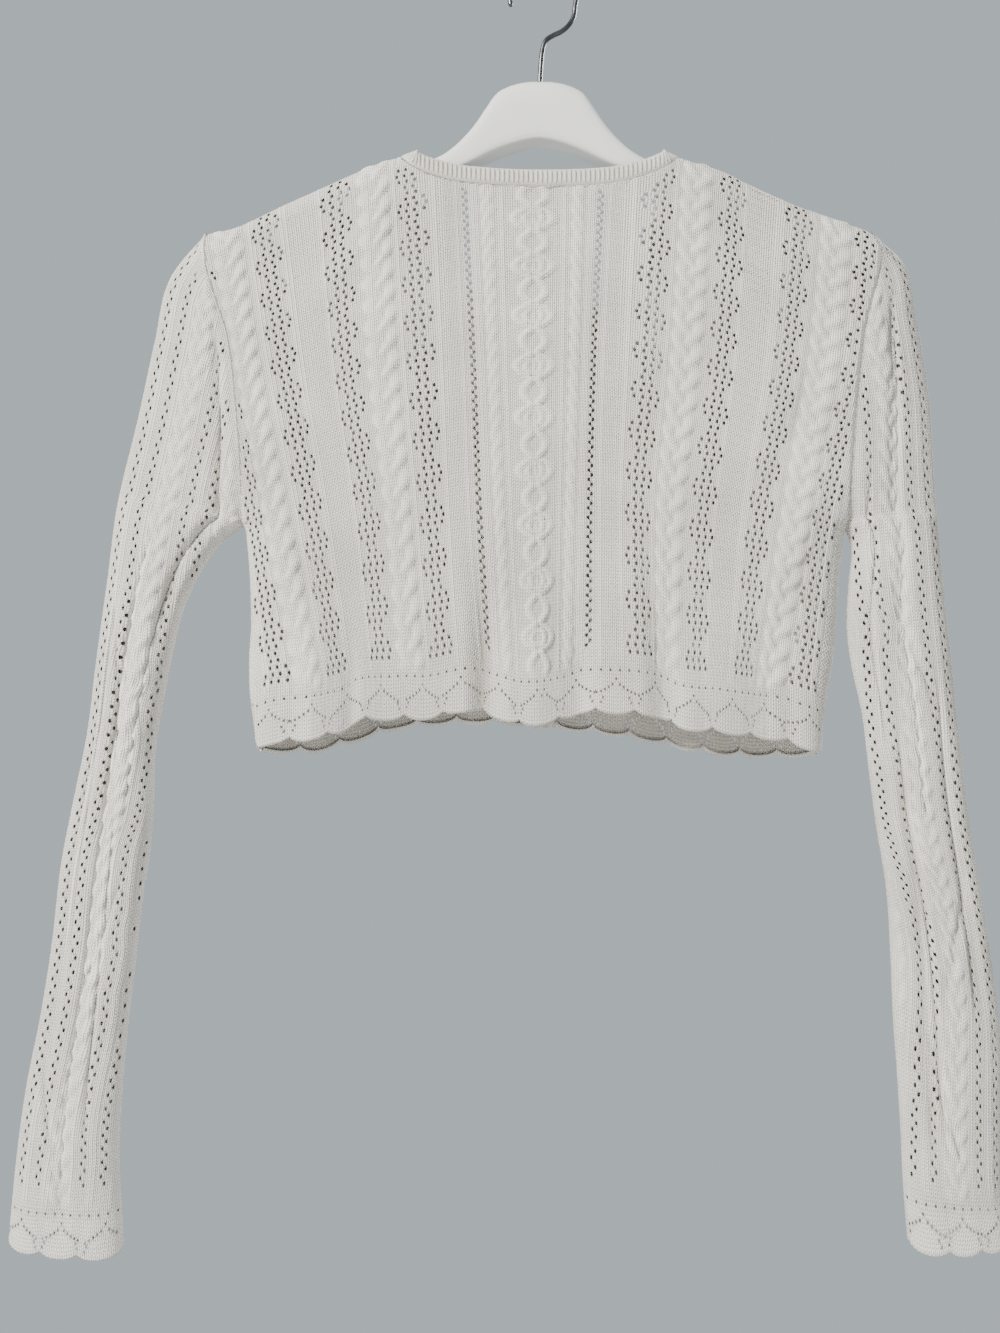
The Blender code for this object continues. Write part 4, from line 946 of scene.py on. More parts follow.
@dataclass
class Panel:
    """A back or front panel, knitted with its border. The back is made of two halves that meet."""

    name: str
    side: Side
    hands: tuple
    stitches: Stitches = field(default_factory=Stitches)
    diamonds: tuple = (61.5, 100.5, 135.0, 173.5)  # their distances from the middle
    zigzag: float = 34.0

    def build(self) -> bpy.types.Object:
        """Build the panel's shell.

        Returns:
            The object.
        """
        self.form = BodyForm(self.side)
        cloth = Cloth(self.name, False)
        cloth.join([self.half(hand) for hand in self.hands])
        return cloth.build()

    def half(self, hand: Hand) -> Cloth:
        """Build one half of a panel.

        Args:
            hand: Which half.

        Returns:
            Its cloth.
        """
        form, outward = self.form, hand.value
        back = self.side is Side.BACK
        offset = 0.0 if back else FRONT_BAND_WIDTH + 2 * SEAM
        columns = np.arange(int((HALF_WIDTH - offset) / COLUMN) + 1)
        distances = columns * COLUMN + offset
        heights, table = wale_map(BACK_WALES[hand] if back else FRONT_WALES, distances)
        if not back:
            table = CENTRE_FRONT + outward * table
            table[:, 0] = CENTRE_FRONT + outward * offset
        shares = np.concatenate([np.array(TOP_TURN), np.arange(1, BODY_ROWS + 1)]) / BODY_ROWS
        fallen = self.fall(shares)[:, None]
        z = np.full((len(shares), len(columns)), -300.0)
        x = np.empty_like(z)
        for _pass in range(LATTICE_PASSES):
            for column in columns:
                x[:, column] = np.interp(z[:, column], heights, table[:, column])
            z = form.shoulder(x) * (1 - fallen) + form.bottom(x) * fallen
        rows = shares[:, None] * BODY_ROWS
        past_neck = (x < NECK_LEFT) | (x > NECK_RIGHT)
        short_of_seam = outward * x < outward * form.edge(z, hand) - SEAM_GAP
        inside = short_of_seam & ((z < form.top(x) - NECK_GAP) | past_neck)
        relief = self.stitches.body_relief(columns[None, :], rows, offset, back) * self.fade(x, z, rows, hand)
        places = form.place(x, z, WALL + relief)
        places[0, (x[0] <= NECK_LEFT) | (x[0] >= NECK_RIGHT), 1] = self.side.value * SEAM
        cloth = Cloth(self.name, self.side.value * outward > 0)
        across, along = np.broadcast_arrays(outward * distances[None, :], -rows * ROW)
        index = np.full((len(shares) + BORDER_ROWS + len(TURN_RAISED) - 1, len(columns)), -1)
        index[:len(shares)][inside] = cloth.add(places[inside], across[inside], along[inside], relief[inside])
        start, end = [], []
        for row, share in enumerate(shares):
            end.append(self.seam_end(cloth, hand, share))
            start.append(self.neck_end(cloth, x[row], z[row], inside[row], -rows[row, 0] * ROW, distances))
        self.border(cloth, hand, index[len(shares):], x[-1], distances, end)
        start.extend([-1] * (len(end) - len(start)))
        cloth.lattice(index, self.holes(offset, x[-1], hand), start, end)
        return cloth

    def fall(self, share: Array) -> Array:
        """Share of the height at which a row hangs, by its share of the rows."""
        return share * (1 - ROW_STRETCH + ROW_STRETCH * share)

    def fade(self, x: Array, z: Array, rows: Array, hand: Hand) -> Array:
        """How much of the relief is left towards the seams and the border.

        Args:
            x: Places across.
            z: Heights.
            rows: Rows.
            hand: Which half.

        Returns:
            The shares.
        """
        from_seam = np.abs(self.form.edge(z, hand) - x) / 6.0
        from_border = (BODY_ROWS - rows) / 5.0 + 0.25
        return eased(np.minimum(np.minimum(from_seam, rows / 4.0), from_border))

    def seam_end(self, cloth: Cloth, hand: Hand, share: float) -> int:
        """Add the end point of a row on the armhole or side seam.

        Args:
            cloth: The cloth.
            hand: Which half.
            share: The row's share of the rows.

        Returns:
            Its index.
        """
        x, fallen = 190.0 * hand.value, self.fall(share)
        for _pass in range(SEAM_PASSES):
            z = float(self.form.shoulder(np.array(x)) * (1 - fallen) + self.form.bottom(np.array(x)) * fallen)
            x = float(self.form.edge(np.array(z), hand))
        place = self.form.seam(np.array([z]), hand, WALL)
        if share == 0.0:
            place[:, 1] = self.side.value * SEAM
        return int(cloth.add(place, hand.value * abs(x), -share * BODY_ROWS * ROW)[0])

    def neck_end(self, cloth: Cloth, x: Array, z: Array, inside: Array, along: float,
                 distances: Array) -> int:
        """Add the point where a row meets the neckline.

        Args:
            cloth: The cloth.
            x: Places of the row's columns.
            z: Their heights.
            inside: Which of them are part of the cloth.
            along: The row's distance along the knit.
            distances: Distances of the columns from the middle.

        Returns:
            Its index, or -1 below the neckline.
        """
        found = np.nonzero(inside)[0]
        if len(found) == 0 or found[0] == 0:
            return -1
        last = found[0]
        gap = z - np.interp(x, *self.form.neck)
        one, other = gap[last - 1], gap[last]
        share = one / (one - other) if one > 0 > other else 0.5
        place_x = float(np.clip(x[last - 1] + (x[last] - x[last - 1]) * share, NECK_LEFT, NECK_RIGHT))
        place_z = float(np.interp(place_x, *self.form.neck))
        place = self.form.place(np.array([place_x]), np.array([place_z]), np.array([WALL]))
        return int(cloth.add(place, distances[last], along)[0])

    def border(self, cloth: Cloth, hand: Hand, index: Array, x: Array, distances: Array, end: list) -> None:
        """Add the rows of the scalloped border and the turned edge below it.

        Args:
            cloth: The cloth.
            hand: Which half.
            index: Point indices of these rows, filled in here.
            x: Places of the columns at the border's top.
            distances: Their distances from the middle.
            end: End points after the last column, added to here.
        """
        form, outward = self.form, hand.value
        edge = float(form.edge(np.array(HEM_Z), hand))
        inside = outward * x < outward * edge - 1.5
        valleys = self.valleys(hand)
        lobes = lobe((x - valleys[0]) / (valleys[1] - valleys[0]))
        drop = SCALLOP_DEPTH * lobes
        foot = np.interp(x, *form.hem)
        for step in range(1, len(index) + 1):
            share, turned = min(step / BORDER_ROWS, 1.0), max(step - BORDER_ROWS, 0)
            raised, lift = WALL * TURN_RAISED[turned], TURN_LIFT[turned]
            z = (foot + BORDER_DEPTH) * (1 - share) + (foot - drop) * share
            puff = SCALLOP_PUFF * eased(share * 2) * lobes * (turned == 0)
            places = form.place(x, z + lift, raised + puff)
            along = -(BODY_ROWS + step) * ROW
            index[step - 1][inside] = cloth.add(places[inside], outward * distances[inside], along)
            seam_z = float(np.interp(edge, *form.hem)) + BORDER_DEPTH * (1 - share) + lift
            place = form.seam(np.array([seam_z]), hand, raised)
            end.append(int(cloth.add(place, outward * abs(edge), along)[0]))

    def valleys(self, hand: Hand) -> Array:
        """Find the valleys between the scallops, over the whole back or over one front.

        Args:
            hand: Which half.

        Returns:
            x of each.
        """
        left, right = (float(self.form.edge(np.array(HEM_Z), each)) for each in (Hand.LEFT, Hand.RIGHT))
        if self.side is Side.FRONT:
            near = CENTRE_FRONT + hand.value * (FRONT_BAND_WIDTH + 2 * SEAM)
            left, right = (left, near) if hand is Hand.LEFT else (near, right)
        return np.linspace(left, right, max(round((right - left) / SCALLOP_PITCH), 1) + 1)

    def holes(self, offset: float, foot: Array, hand: Hand) -> list:
        """Every eyelet of the half panel.

        Args:
            offset: Distance of column 0 from the middle.
            foot: x of the columns at the border's top.
            hand: Which half.

        Returns:
            The holes.
        """
        extra = len(TOP_TURN) - 1
        last = extra + BODY_ROWS - 3
        stitches = Stitches(diamond_start=self.stitches.diamond_start + extra)
        holes = []
        for distance in self.diamonds:
            holes.extend(stitches.diamond_holes(round((distance - offset) / COLUMN), extra + 3, last))
        holes.extend(stitches.zigzag_holes(round((self.zigzag - offset) / COLUMN), extra + 4, last - 3))
        places = sorted({int(np.argmin(np.abs(foot - valley))) for valley in self.valleys(hand)
                         if hand.value * (valley - foot[0]) > -SCALLOP_PITCH})
        if places[0] == 0 and self.side is Side.BACK:
            places[0] = places[1] - round(SCALLOP_PITCH / COLUMN)
        return holes + stitches.border_holes(places, extra + BODY_ROWS + 1)


@dataclass
class SleeveForm:
    """Form of one flattened sleeve, by the distance along its outer fold and the place across it."""

    table: Table
    hand: Hand
    body: BodyForm

    def __post_init__(self) -> None:
        """Work out the two folds, the slant of the rows and their lengths."""
        outward = self.hand.value
        outer, inner = np.array(self.table)[:, :2], np.array(self.table)[:, 2:4]
        gone = np.concatenate([[0.0], np.cumsum(np.linalg.norm(np.diff(outer, axis=0), axis=1))])
        self.length = float(gone[-1])
        self.outer_x = curve_of(tuple(zip(gone, outer[:, 0])), 1, 1.0)
        self.outer_z = curve_of(tuple(zip(gone, outer[:, 1])), 1, 1.0)
        self.half = curve_of(tuple(zip(gone, [row[4] for row in self.table])), 1, 1.0)
        both = gone + np.concatenate([[0.0], np.cumsum(np.linalg.norm(np.diff(inner, axis=0), axis=1))])
        self.share = (gone, both / both[-1])
        seam_z = np.linspace(ARMHOLE[0][0] - WALL, UNDERARM_Z, 120)
        seam = np.stack([self.body.edge(seam_z, self.hand) + outward * SEAM, seam_z], axis=-1)
        depth, fold_x = curve_of(tuple(zip(-inner[:, 1], inner[:, 0])), 1, 2.0)
        fold = np.stack([fold_x + outward * WALL * eased((UNDERARM_Z + depth) / 8.0), -depth], axis=-1)
        tail = fold[-1] + (fold[-1] - fold[-2]) * 30
        self.boundary = np.vstack([seam, fold[1:], tail[None, :]])
        self.seam_count = len(seam)
        run_x, run_z = (np.interp(gone + 40, *curve) - np.interp(gone - 40, *curve)
                        for curve in (self.outer_x, self.outer_z))
        tilt = np.arctan2(outward * run_x, -run_z)
        pair = np.arctan2(inner[:, 1] - outer[:, 1], -outward * (inner[:, 0] - outer[:, 0]))
        weight = eased((np.arange(len(gone)) - 7) / 4.0)  # the lower rows run from fold to fold of the table
        self.tilt = curve_of(tuple(zip(gone, (1 - weight) * tilt + weight * pair)), 1, 1.0)

    def rows(self, places: Array) -> None:
        """Work out where each row starts and ends.

        Args:
            places: Distance of each row along the outer fold.
        """
        angle = np.interp(places, *self.tilt)
        direction = np.stack([-self.hand.value * np.cos(angle), -np.sin(angle)], axis=-1)
        self.lead = eased(places / 9.0)
        self.start = np.stack([np.interp(places, *self.outer_x), np.interp(places, *self.outer_z)], axis=-1)
        self.start = self.start + direction * (WALL * self.lead)[:, None]
        width = np.zeros(len(places))
        self.seam_share = np.ones(len(places))
        one, other = self.boundary[:-1], self.boundary[1:]
        span = other - one
        for row, (point, run) in enumerate(zip(self.start, direction)):
            cross = run[0] * span[:, 1] - run[1] * span[:, 0]
            cross = np.where(np.abs(cross) < 1e-9, 1e-9, cross)
            offset = one - point
            reach = (offset[:, 0] * span[:, 1] - offset[:, 1] * span[:, 0]) / cross
            along = (offset[:, 0] * run[1] - offset[:, 1] * run[0]) / cross
            hits = np.nonzero((along >= -1e-6) & (along <= 1 + 1e-6) & (reach > -0.5))[0]
            if len(hits):
                best = hits[np.argmin(reach[hits])]
                width[row] = max(reach[best], 0.0)
                self.seam_share[row] = best < self.seam_count - 1
        self.finish = self.start + direction * width[:, None]
        self.lead_in(places, width)
        reach = self.finish - self.start
        self.width = np.linalg.norm(reach, axis=1)
        narrow = self.width[:, None] <= 0.5
        self.run = np.where(narrow, direction, reach / np.maximum(self.width, 0.5)[:, None])
        self.opened = seam_depth(self.finish[:, 1]) * self.seam_share / BODY_DEPTH
        self.depth_half = np.interp(places, *self.half)
        self.row_share = np.interp(places, *self.share)

    def lead_in(self, places: Array, width: Array) -> None:
        """Turn the first rows, so that they end on the armhole seam from its top down.

        Args:
            places: Distance of each row along the outer fold.
            width: Width of each row, 0 where it passes above the seam.
        """
        first = int(np.nonzero((width > 0) & (places > LEAD_IN))[0][0])
        top = ARMHOLE[0][0] - WALL
        z = top + (self.finish[first, 1] - top) * places[:first] / places[first]
        self.finish[:first] = np.stack([self.body.edge(z, self.hand) + self.hand.value * SEAM, z], axis=-1)
        self.seam_share[:first] = 1.0

    def depth(self, row: Array, across: Array) -> Array:
        """Distance of the inside from the middle plane.

        Args:
            row: Rows.
            across: Places across, 0 at the outer fold and 1 at the seam or inner fold.

        Returns:
            The distances.
        """
        half, opened, share = self.depth_half[row], self.opened[row], self.row_share[row]
        closed = half * np.sqrt(np.clip(1 - np.abs(2 * across - 1) ** 2.4, 0.0, 1.0))
        rise = np.sqrt(np.clip(1 - (1 - across) ** 2.4, 0.0, 1.0))
        level = half + (BODY_DEPTH * opened - half) * across ** 2
        opening = eased(opened * 2)
        depth = closed * (1 - opening) + level * rise * opening
        creased = np.zeros_like(depth)
        for place, start, end, half_width, deep, drift in SLEEVE_CREASES[self.hand]:
            run = eased((share - start) / 0.06) * eased((end - share) / 0.06)
            middle = place + drift * (share - (start + end) / 2)
            creased += deep * run * hump(across - middle, half_width)
        valley = 1.5 * opened * hump(1 - across, 0.14)
        return np.maximum(depth - creased * eased(depth / 6.0) - valley * eased(across * 3) * 0.6, 0.0)


@dataclass
class SleevePiece:
    """A sleeve: two halves of a flattened tube, back and front, with a scalloped cuff."""

    name: str
    hand: Hand
    drop: float  # how far the front layer's cuff hangs lower
    stitches: Stitches = field(default_factory=Stitches)
    cuff_scallops: int = 3  # on each half
    slits: tuple = (9.0, 20.5, 48.0, 60.0, 88.0, 99.0)  # their distances from the outer fold
    braids: tuple = (34.6, 74.0)

    def build(self) -> bpy.types.Object:
        """Build the sleeve's shell.

        Returns:
            The object.
        """
        self.form = SleeveForm(SLEEVES[self.hand], self.hand, BodyForm(Side.BACK))
        length = self.form.length
        self.main = int((length - BORDER_DEPTH) / ROW)
        upper = np.linspace(0.15, length - BORDER_DEPTH, self.main)
        border = length - BORDER_DEPTH + BORDER_DEPTH * np.arange(1, BORDER_ROWS + 1) / BORDER_ROWS
        self.form.rows(np.concatenate([upper, border, [length] * (len(TURN_RAISED) - 1)]))
        cloth = Cloth(self.name, False)
        cloth.join([self.half(side) for side in Side])
        return cloth.build()

    def half(self, side: Side) -> Cloth:
        """Build the back or front half of the sleeve.

        Args:
            side: Which half.

        Returns:
            Its cloth.
        """
        cloth = Cloth(self.name, side.value * self.hand.value < 0)
        total = len(self.form.width)
        across = (1 - np.cos(np.linspace(0, np.pi, 90))) / 2
        index = np.full((total, 130), -1)
        end = []
        depth = self.form.depth(np.arange(total)[:, None], across[None, :])
        steps = np.hypot(np.diff(self.form.width[:, None] * across[None, :], axis=1), np.diff(depth, axis=1))
        gone = np.concatenate([np.zeros((total, 1)), np.cumsum(steps, axis=1)], axis=1)
        for row in range(total):
            reach = gone[row, -1]
            count = int((reach - 0.6) / COLUMN) + 1
            lattice = np.arange(count) * COLUMN
            places = np.interp(lattice, gone[row], across)
            index[row, :count] = self.points(cloth, side, row, places, lattice)
            end.append(int(self.points(cloth, side, row, np.array([1.0]), np.array([reach]))[0]))
        cloth.lattice(index, self.holes(count), [-1] * total, end)
        return cloth

    def points(self, cloth: Cloth, side: Side, row: int, across: Array, knit: Array) -> Array:
        """Add points of one row.

        Args:
            cloth: The cloth.
            side: Which half.
            row: The row.
            across: Places across the form.
            knit: Distances of the points from the outer fold, along the cloth.

        Returns:
            Their indices.
        """
        form, outward = self.form, self.hand.value
        border = row - self.main + 1
        turned = max(border - BORDER_ROWS, 0)
        share = min(max(border / BORDER_ROWS, 0.0), 1.0)
        base = form.start[row] + (form.finish[row] - form.start[row]) * across[:, None]
        low, high = np.clip(across - 0.01, 0, 1), np.clip(across + 0.01, 0, 1)
        span = (high - low) * max(form.width[row], 1e-3)
        rise = (form.depth(np.array([row]), high) - form.depth(np.array([row]), low)) / span
        run = form.run[row]
        fold = across <= 0.0
        inner_end = (across >= 1.0) & (form.opened[row] <= 0.0)
        seam_end = (across >= 1.0) & ~inner_end
        out = np.stack([-rise * run[0], np.full(len(across), float(side.value)), -rise * run[1]], axis=-1)
        out[fold] = (-run[0], 0.0, -run[1])
        out[inner_end] = (run[0], 0.0, run[1])
        out[seam_end] = (0.0, side.value, 0.0)
        out /= np.linalg.norm(out, axis=1, keepdims=True)
        raised = WALL + self.relief(row, knit) * eased(across * 10) * eased((1 - across) * 10)
        raised = np.where((across > 0) & (across < 1), raised, WALL)
        raised = raised * (form.lead[row] + (1 - form.lead[row]) * across)
        lobes = np.where((across <= 0) | (across >= 1), 0.0, lobe(across * self.cuff_scallops))
        puff = SCALLOP_PUFF * lobes * eased(np.array(share * 2)) * (turned == 0)
        raised = raised * TURN_RAISED[turned] + puff
        depth = form.depth(np.array([row]), across)
        places = np.stack([base[:, 0], side.value * depth, base[:, 1]], axis=-1) + out * raised[:, None]
        places[:, 2] += -SCALLOP_DEPTH * share * lobes + TURN_LIFT[turned]
        if side is Side.FRONT:
            places[:, 2] -= self.drop * eased((form.row_share[row] - 0.8) / 0.2) * hump(across - 0.5, 0.5)
        places[fold | inner_end, 1] = 0.0
        if seam_end.any():
            edge = form.body.seam(form.finish[row, 1:], self.hand, WALL)[0]
            places[seam_end] = (edge[0] + outward * 2 * SEAM, side.value * abs(edge[1]), edge[2])
        return cloth.add(places, side.value * knit, -row * ROW, raised - WALL)

    def relief(self, row: int, knit: Array) -> Array:
        """Relief of one row.

        Args:
            row: The row.
            knit: Distances from the outer fold, along the cloth.

        Returns:
            Heights over the plain knit.
        """
        column = np.round(knit / COLUMN)
        height = SLEEVE_RIB_HEIGHT * self.stitches.ribs(knit, column, SLEEVE_RIBS)
        up = np.array(float(row - self.main))
        for middle in self.braids:
            height = np.maximum(height, SLEEVE_CABLE_HEIGHT * self.stitches.braid((knit - middle) * 1.3, up))
        height = height + SLEEVE_SEED_HEIGHT * self.stitches.seed(knit, column, np.array(row), SLEEVE_SEED)
        near = min((self.main - row) / 5.0 + 0.2, 1.0) if row < self.main else 0.2
        return height * float(eased(np.array(near)))

    def holes(self, width: int) -> list:
        """Every eyelet of the half sleeve.

        Args:
            width: Number of columns at the cuff.

        Returns:
            The holes.
        """
        holes = []
        for distance in self.slits:
            holes.extend(self.stitches.slit_holes(round(distance / COLUMN), 6, self.main - 3))
        valleys = [round(width * step / self.cuff_scallops) for step in range(self.cuff_scallops + 1)]
        return holes + self.stitches.border_holes(valleys, self.main + 1)


@dataclass
class Tube:
    """A strip or bar made of rings of points along a path, with closed ends."""

    name: str
    points: list = field(default_factory=list)
    faces: list = field(default_factory=list)
    rings: list = field(default_factory=list)

    def ring(self, places: list) -> None:
        """Add one ring.

        Args:
            places: Its positions in millimetres.
        """
        first = len(self.points)
        self.points.extend(places)
        self.rings.append(range(first, first + len(places)))

    def build(self) -> bpy.types.Object:
        """Fill the rings and their ends, and make the mesh object with its faces out.

        Returns:
            The object.
        """
        for one, other in zip(self.rings, self.rings[1:]):
            for step in range(len(one)):
                after = (step + 1) % len(one)
                self.faces.append((one[step], one[after], other[after], other[step]))
        self.faces.extend((tuple(self.rings[0]), tuple(self.rings[-1])))
        mesh = bpy.data.meshes.new(self.name)
        mesh.from_pydata([tuple(value * MM for value in point) for point in self.points], [], self.faces)
        shape = bmesh.new()
        shape.from_mesh(mesh)
        bmesh.ops.recalc_face_normals(shape, faces=shape.faces)
        shape.to_mesh(mesh)
        shape.free()
        mesh.shade_smooth()
        return show(self.name, mesh)


@dataclass
class NeckTrim:
    """The ribbed trim round the neckline: a band, and its ribs along it."""

    height: float = 9.9
    lap: float = 1.7  # how far it reaches behind the panels' edge
    thickness: float = 1.5
    rib_pitch: float = 2.9
    rib_radius: float = 0.95

    def path(self) -> list:
        """Follow the neckline.

        Returns:
            Frames from centre front left, round the back, to centre front right.
        """
        front, back = BodyForm(Side.FRONT), BodyForm(Side.BACK)
        near = FRONT_BAND_WIDTH + 2 * SEAM
        steps = (1 - np.cos(np.linspace(0, np.pi, 260))) / 2
        left = NECK_LEFT + (CENTRE_FRONT - near - NECK_LEFT) * steps[::-1]
        right = NECK_RIGHT + (CENTRE_FRONT + near - NECK_RIGHT) * steps
        over = NECK_LEFT + (NECK_RIGHT - NECK_LEFT) * steps
        runs = ((front, left), (back, over[1:-1]), (front, right))
        return [self.frame_at(form, float(x)) for form, places in runs for x in places]

    def frame_at(self, form: BodyForm, x: float) -> tuple:
        """A point of the neckline and the trim's directions there.

        Args:
            form: The back's or the front's form.
            x: The place.

        Returns:
            The point, the direction out of the cloth and the one up along the trim.
        """
        place, height = np.array([x]), np.interp([x], *form.neck)
        inside = form.place(place, height, np.array([0.0]))[0]
        out = form.place(place, height, np.array([1.0]))[0] - inside
        near = min(x - NECK_LEFT, NECK_RIGHT - x)
        inward = 1.0 if x < CENTRE_FRONT else -1.0
        if form.side is Side.BACK:
            share = float(eased(np.array(near / 14.0)))
            rise = Vector((inward * (1 - share), 0, 0.35 + 0.65 * share))
        else:
            low, high = np.interp([max(x - 0.5, NECK_LEFT), min(x + 0.5, NECK_RIGHT)], *form.neck)
            rise = Vector((-(high - low), 0, 1.0))
            rise = rise.lerp(Vector((inward, 0, 0.35)), 1 - float(eased(np.array(near / 3.0))))
        if abs(x - CENTRE_FRONT) < FRONT_BAND_WIDTH + 1.0:
            rise = Vector((0, 0, 1))
        if near < 1e-6:
            inside[1] = 0.0
        return Vector(inside), Vector(out).normalized(), rise.normalized()

    def even(self, frames: list, spacing: float) -> list:
        """Frames an even distance apart.

        Args:
            frames: Frames along a path.
            spacing: The distance.

        Returns:
            The first frame, those between, and the last.
        """
        chosen, gone, wanted = [frames[0]], 0.0, spacing
        for one, other in zip(frames, frames[1:]):
            step = (other[0] - one[0]).length
            while gone + step >= wanted and step > 0:
                share = (wanted - gone) / step
                chosen.append(tuple(a.lerp(b, share) for a, b in zip(one, other)))
                wanted += spacing
            gone += step
        return chosen + [frames[-1]]

    def build(self) -> bpy.types.Object:
        """Build the band.

        Returns:
            The object.
        """
        tube = Tube("neck_trim")
        for point, out, rise in self.even(self.path(), 1.5):
            near = min(abs(point.x - NECK_LEFT), abs(point.x - NECK_RIGHT)) / 9.0
            low = point - rise * self.lap
            high = point + rise * self.height * (0.72 + 0.28 * float(eased(np.array(near))))
            back, front = out * 0.2, out * self.thickness
            tube.ring([low + back, low + front, low.lerp(high, 0.5) + front * 1.08, high + front * 0.9,
                       high + rise * 0.3 + front * 0.5, high + back])
        return tube.build()

    def build_ribs(self, material: bpy.types.Material) -> bpy.types.Object:
        """Build the ribs with Geometry Nodes: one short rounded cord on each point of the path.

        Args:
            material: Their material.

        Returns:
            The object.
        """
        frames = self.even(self.path(), self.rib_pitch)[1:-1]
        points = [point + rise * (0.45 + self.height / 2) + out * (self.thickness - 0.15)
                  for point, out, rise in frames]
        mesh = bpy.data.meshes.new("neck_ribs")
        mesh.from_pydata([tuple(point * MM) for point in points], [], [])
        for name, part in (("rise", 2), ("out", 1)):
            layer = mesh.attributes.new(name, "FLOAT_VECTOR", "POINT")
            layer.data.foreach_set("vector", [value for item in frames for value in item[part]])
        source = show("neck_rib_points", mesh)
        tree = RibTree(material).build()
        modifier = source.modifiers.new("ribs", "NODES")
        modifier.node_group = tree
        sizes = {"Rib length": self.height * MM * 0.94, "Rib radius": self.rib_radius * MM}
        for socket in tree.interface.items_tree:
            if socket.item_type == "SOCKET" and socket.name in sizes:
                modifier[socket.identifier] = sizes[socket.name]
        graph = bpy.context.evaluated_depsgraph_get()
        result = bpy.data.meshes.new_from_object(source.evaluated_get(graph))
        source.modifiers.clear()
        bpy.data.objects.remove(source)
        result.name = "neck_ribs_mesh"
        return show("neck_ribs", result)


def add_node(tree: bpy.types.NodeTree, kind: str, settings: dict, links: dict) -> bpy.types.Node:
    """Add a node with its settings and links.

    Args:
        tree: The node tree.
        kind: The node's type.
        settings: Property names, or input names or numbers, and their values.
        links: Input names or numbers, and the output sockets that feed them.

    Returns:
        The node.
    """
    node = tree.nodes.new(kind)
    for name, value in settings.items():
        if isinstance(name, str) and hasattr(node, name):
            setattr(node, name, value)
        else:
            node.inputs[name].default_value = value
    for name, socket in links.items():
        tree.links.new(socket, node.inputs[name])
    return node


def number(tree: bpy.types.NodeTree, operation: str, *inputs: object) -> bpy.types.NodeSocket:
    """Add a maths node.

    Args:
        tree: The node tree.
        operation: Its operation.
        inputs: A number or an output socket for each of its inputs.

    Returns:
        Its output.
    """
    settings, links = {"operation": operation}, {}
    for place, value in enumerate(inputs):
        (links if isinstance(value, bpy.types.NodeSocket) else settings)[place] = value
    return add_node(tree, "ShaderNodeMath", settings, links).outputs[0]


def ranged(tree: bpy.types.NodeTree, value: bpy.types.NodeSocket, start: tuple,
           end: tuple) -> bpy.types.NodeSocket:
    """Add a node that maps one range of a value onto another, clamped.

    Args:
        tree: The node tree.
        value: The value.
        start: Its range.
        end: The range of the result.

    Returns:
        The result.
    """
    limits = dict(zip(("From Min", "From Max", "To Min", "To Max"), (*start, *end)))
    return add_node(tree, "ShaderNodeMapRange", limits, {"Value": value}).outputs[0]


def noise(tree: bpy.types.NodeTree, place: bpy.types.NodeSocket, scale: float, detail: float,
          roughness: float = 0.5) -> bpy.types.NodeSocket:
    """Add a noise texture.

    Args:
        tree: The node tree.
        place: Its coordinates.
        scale: Its scale.
        detail: Its detail.
        roughness: Its roughness.

    Returns:
        Its output.
    """
    settings = {"Scale": scale, "Detail": detail, "Roughness": roughness}
    return add_node(tree, "ShaderNodeTexNoise", settings, {"Vector": place}).outputs[0]


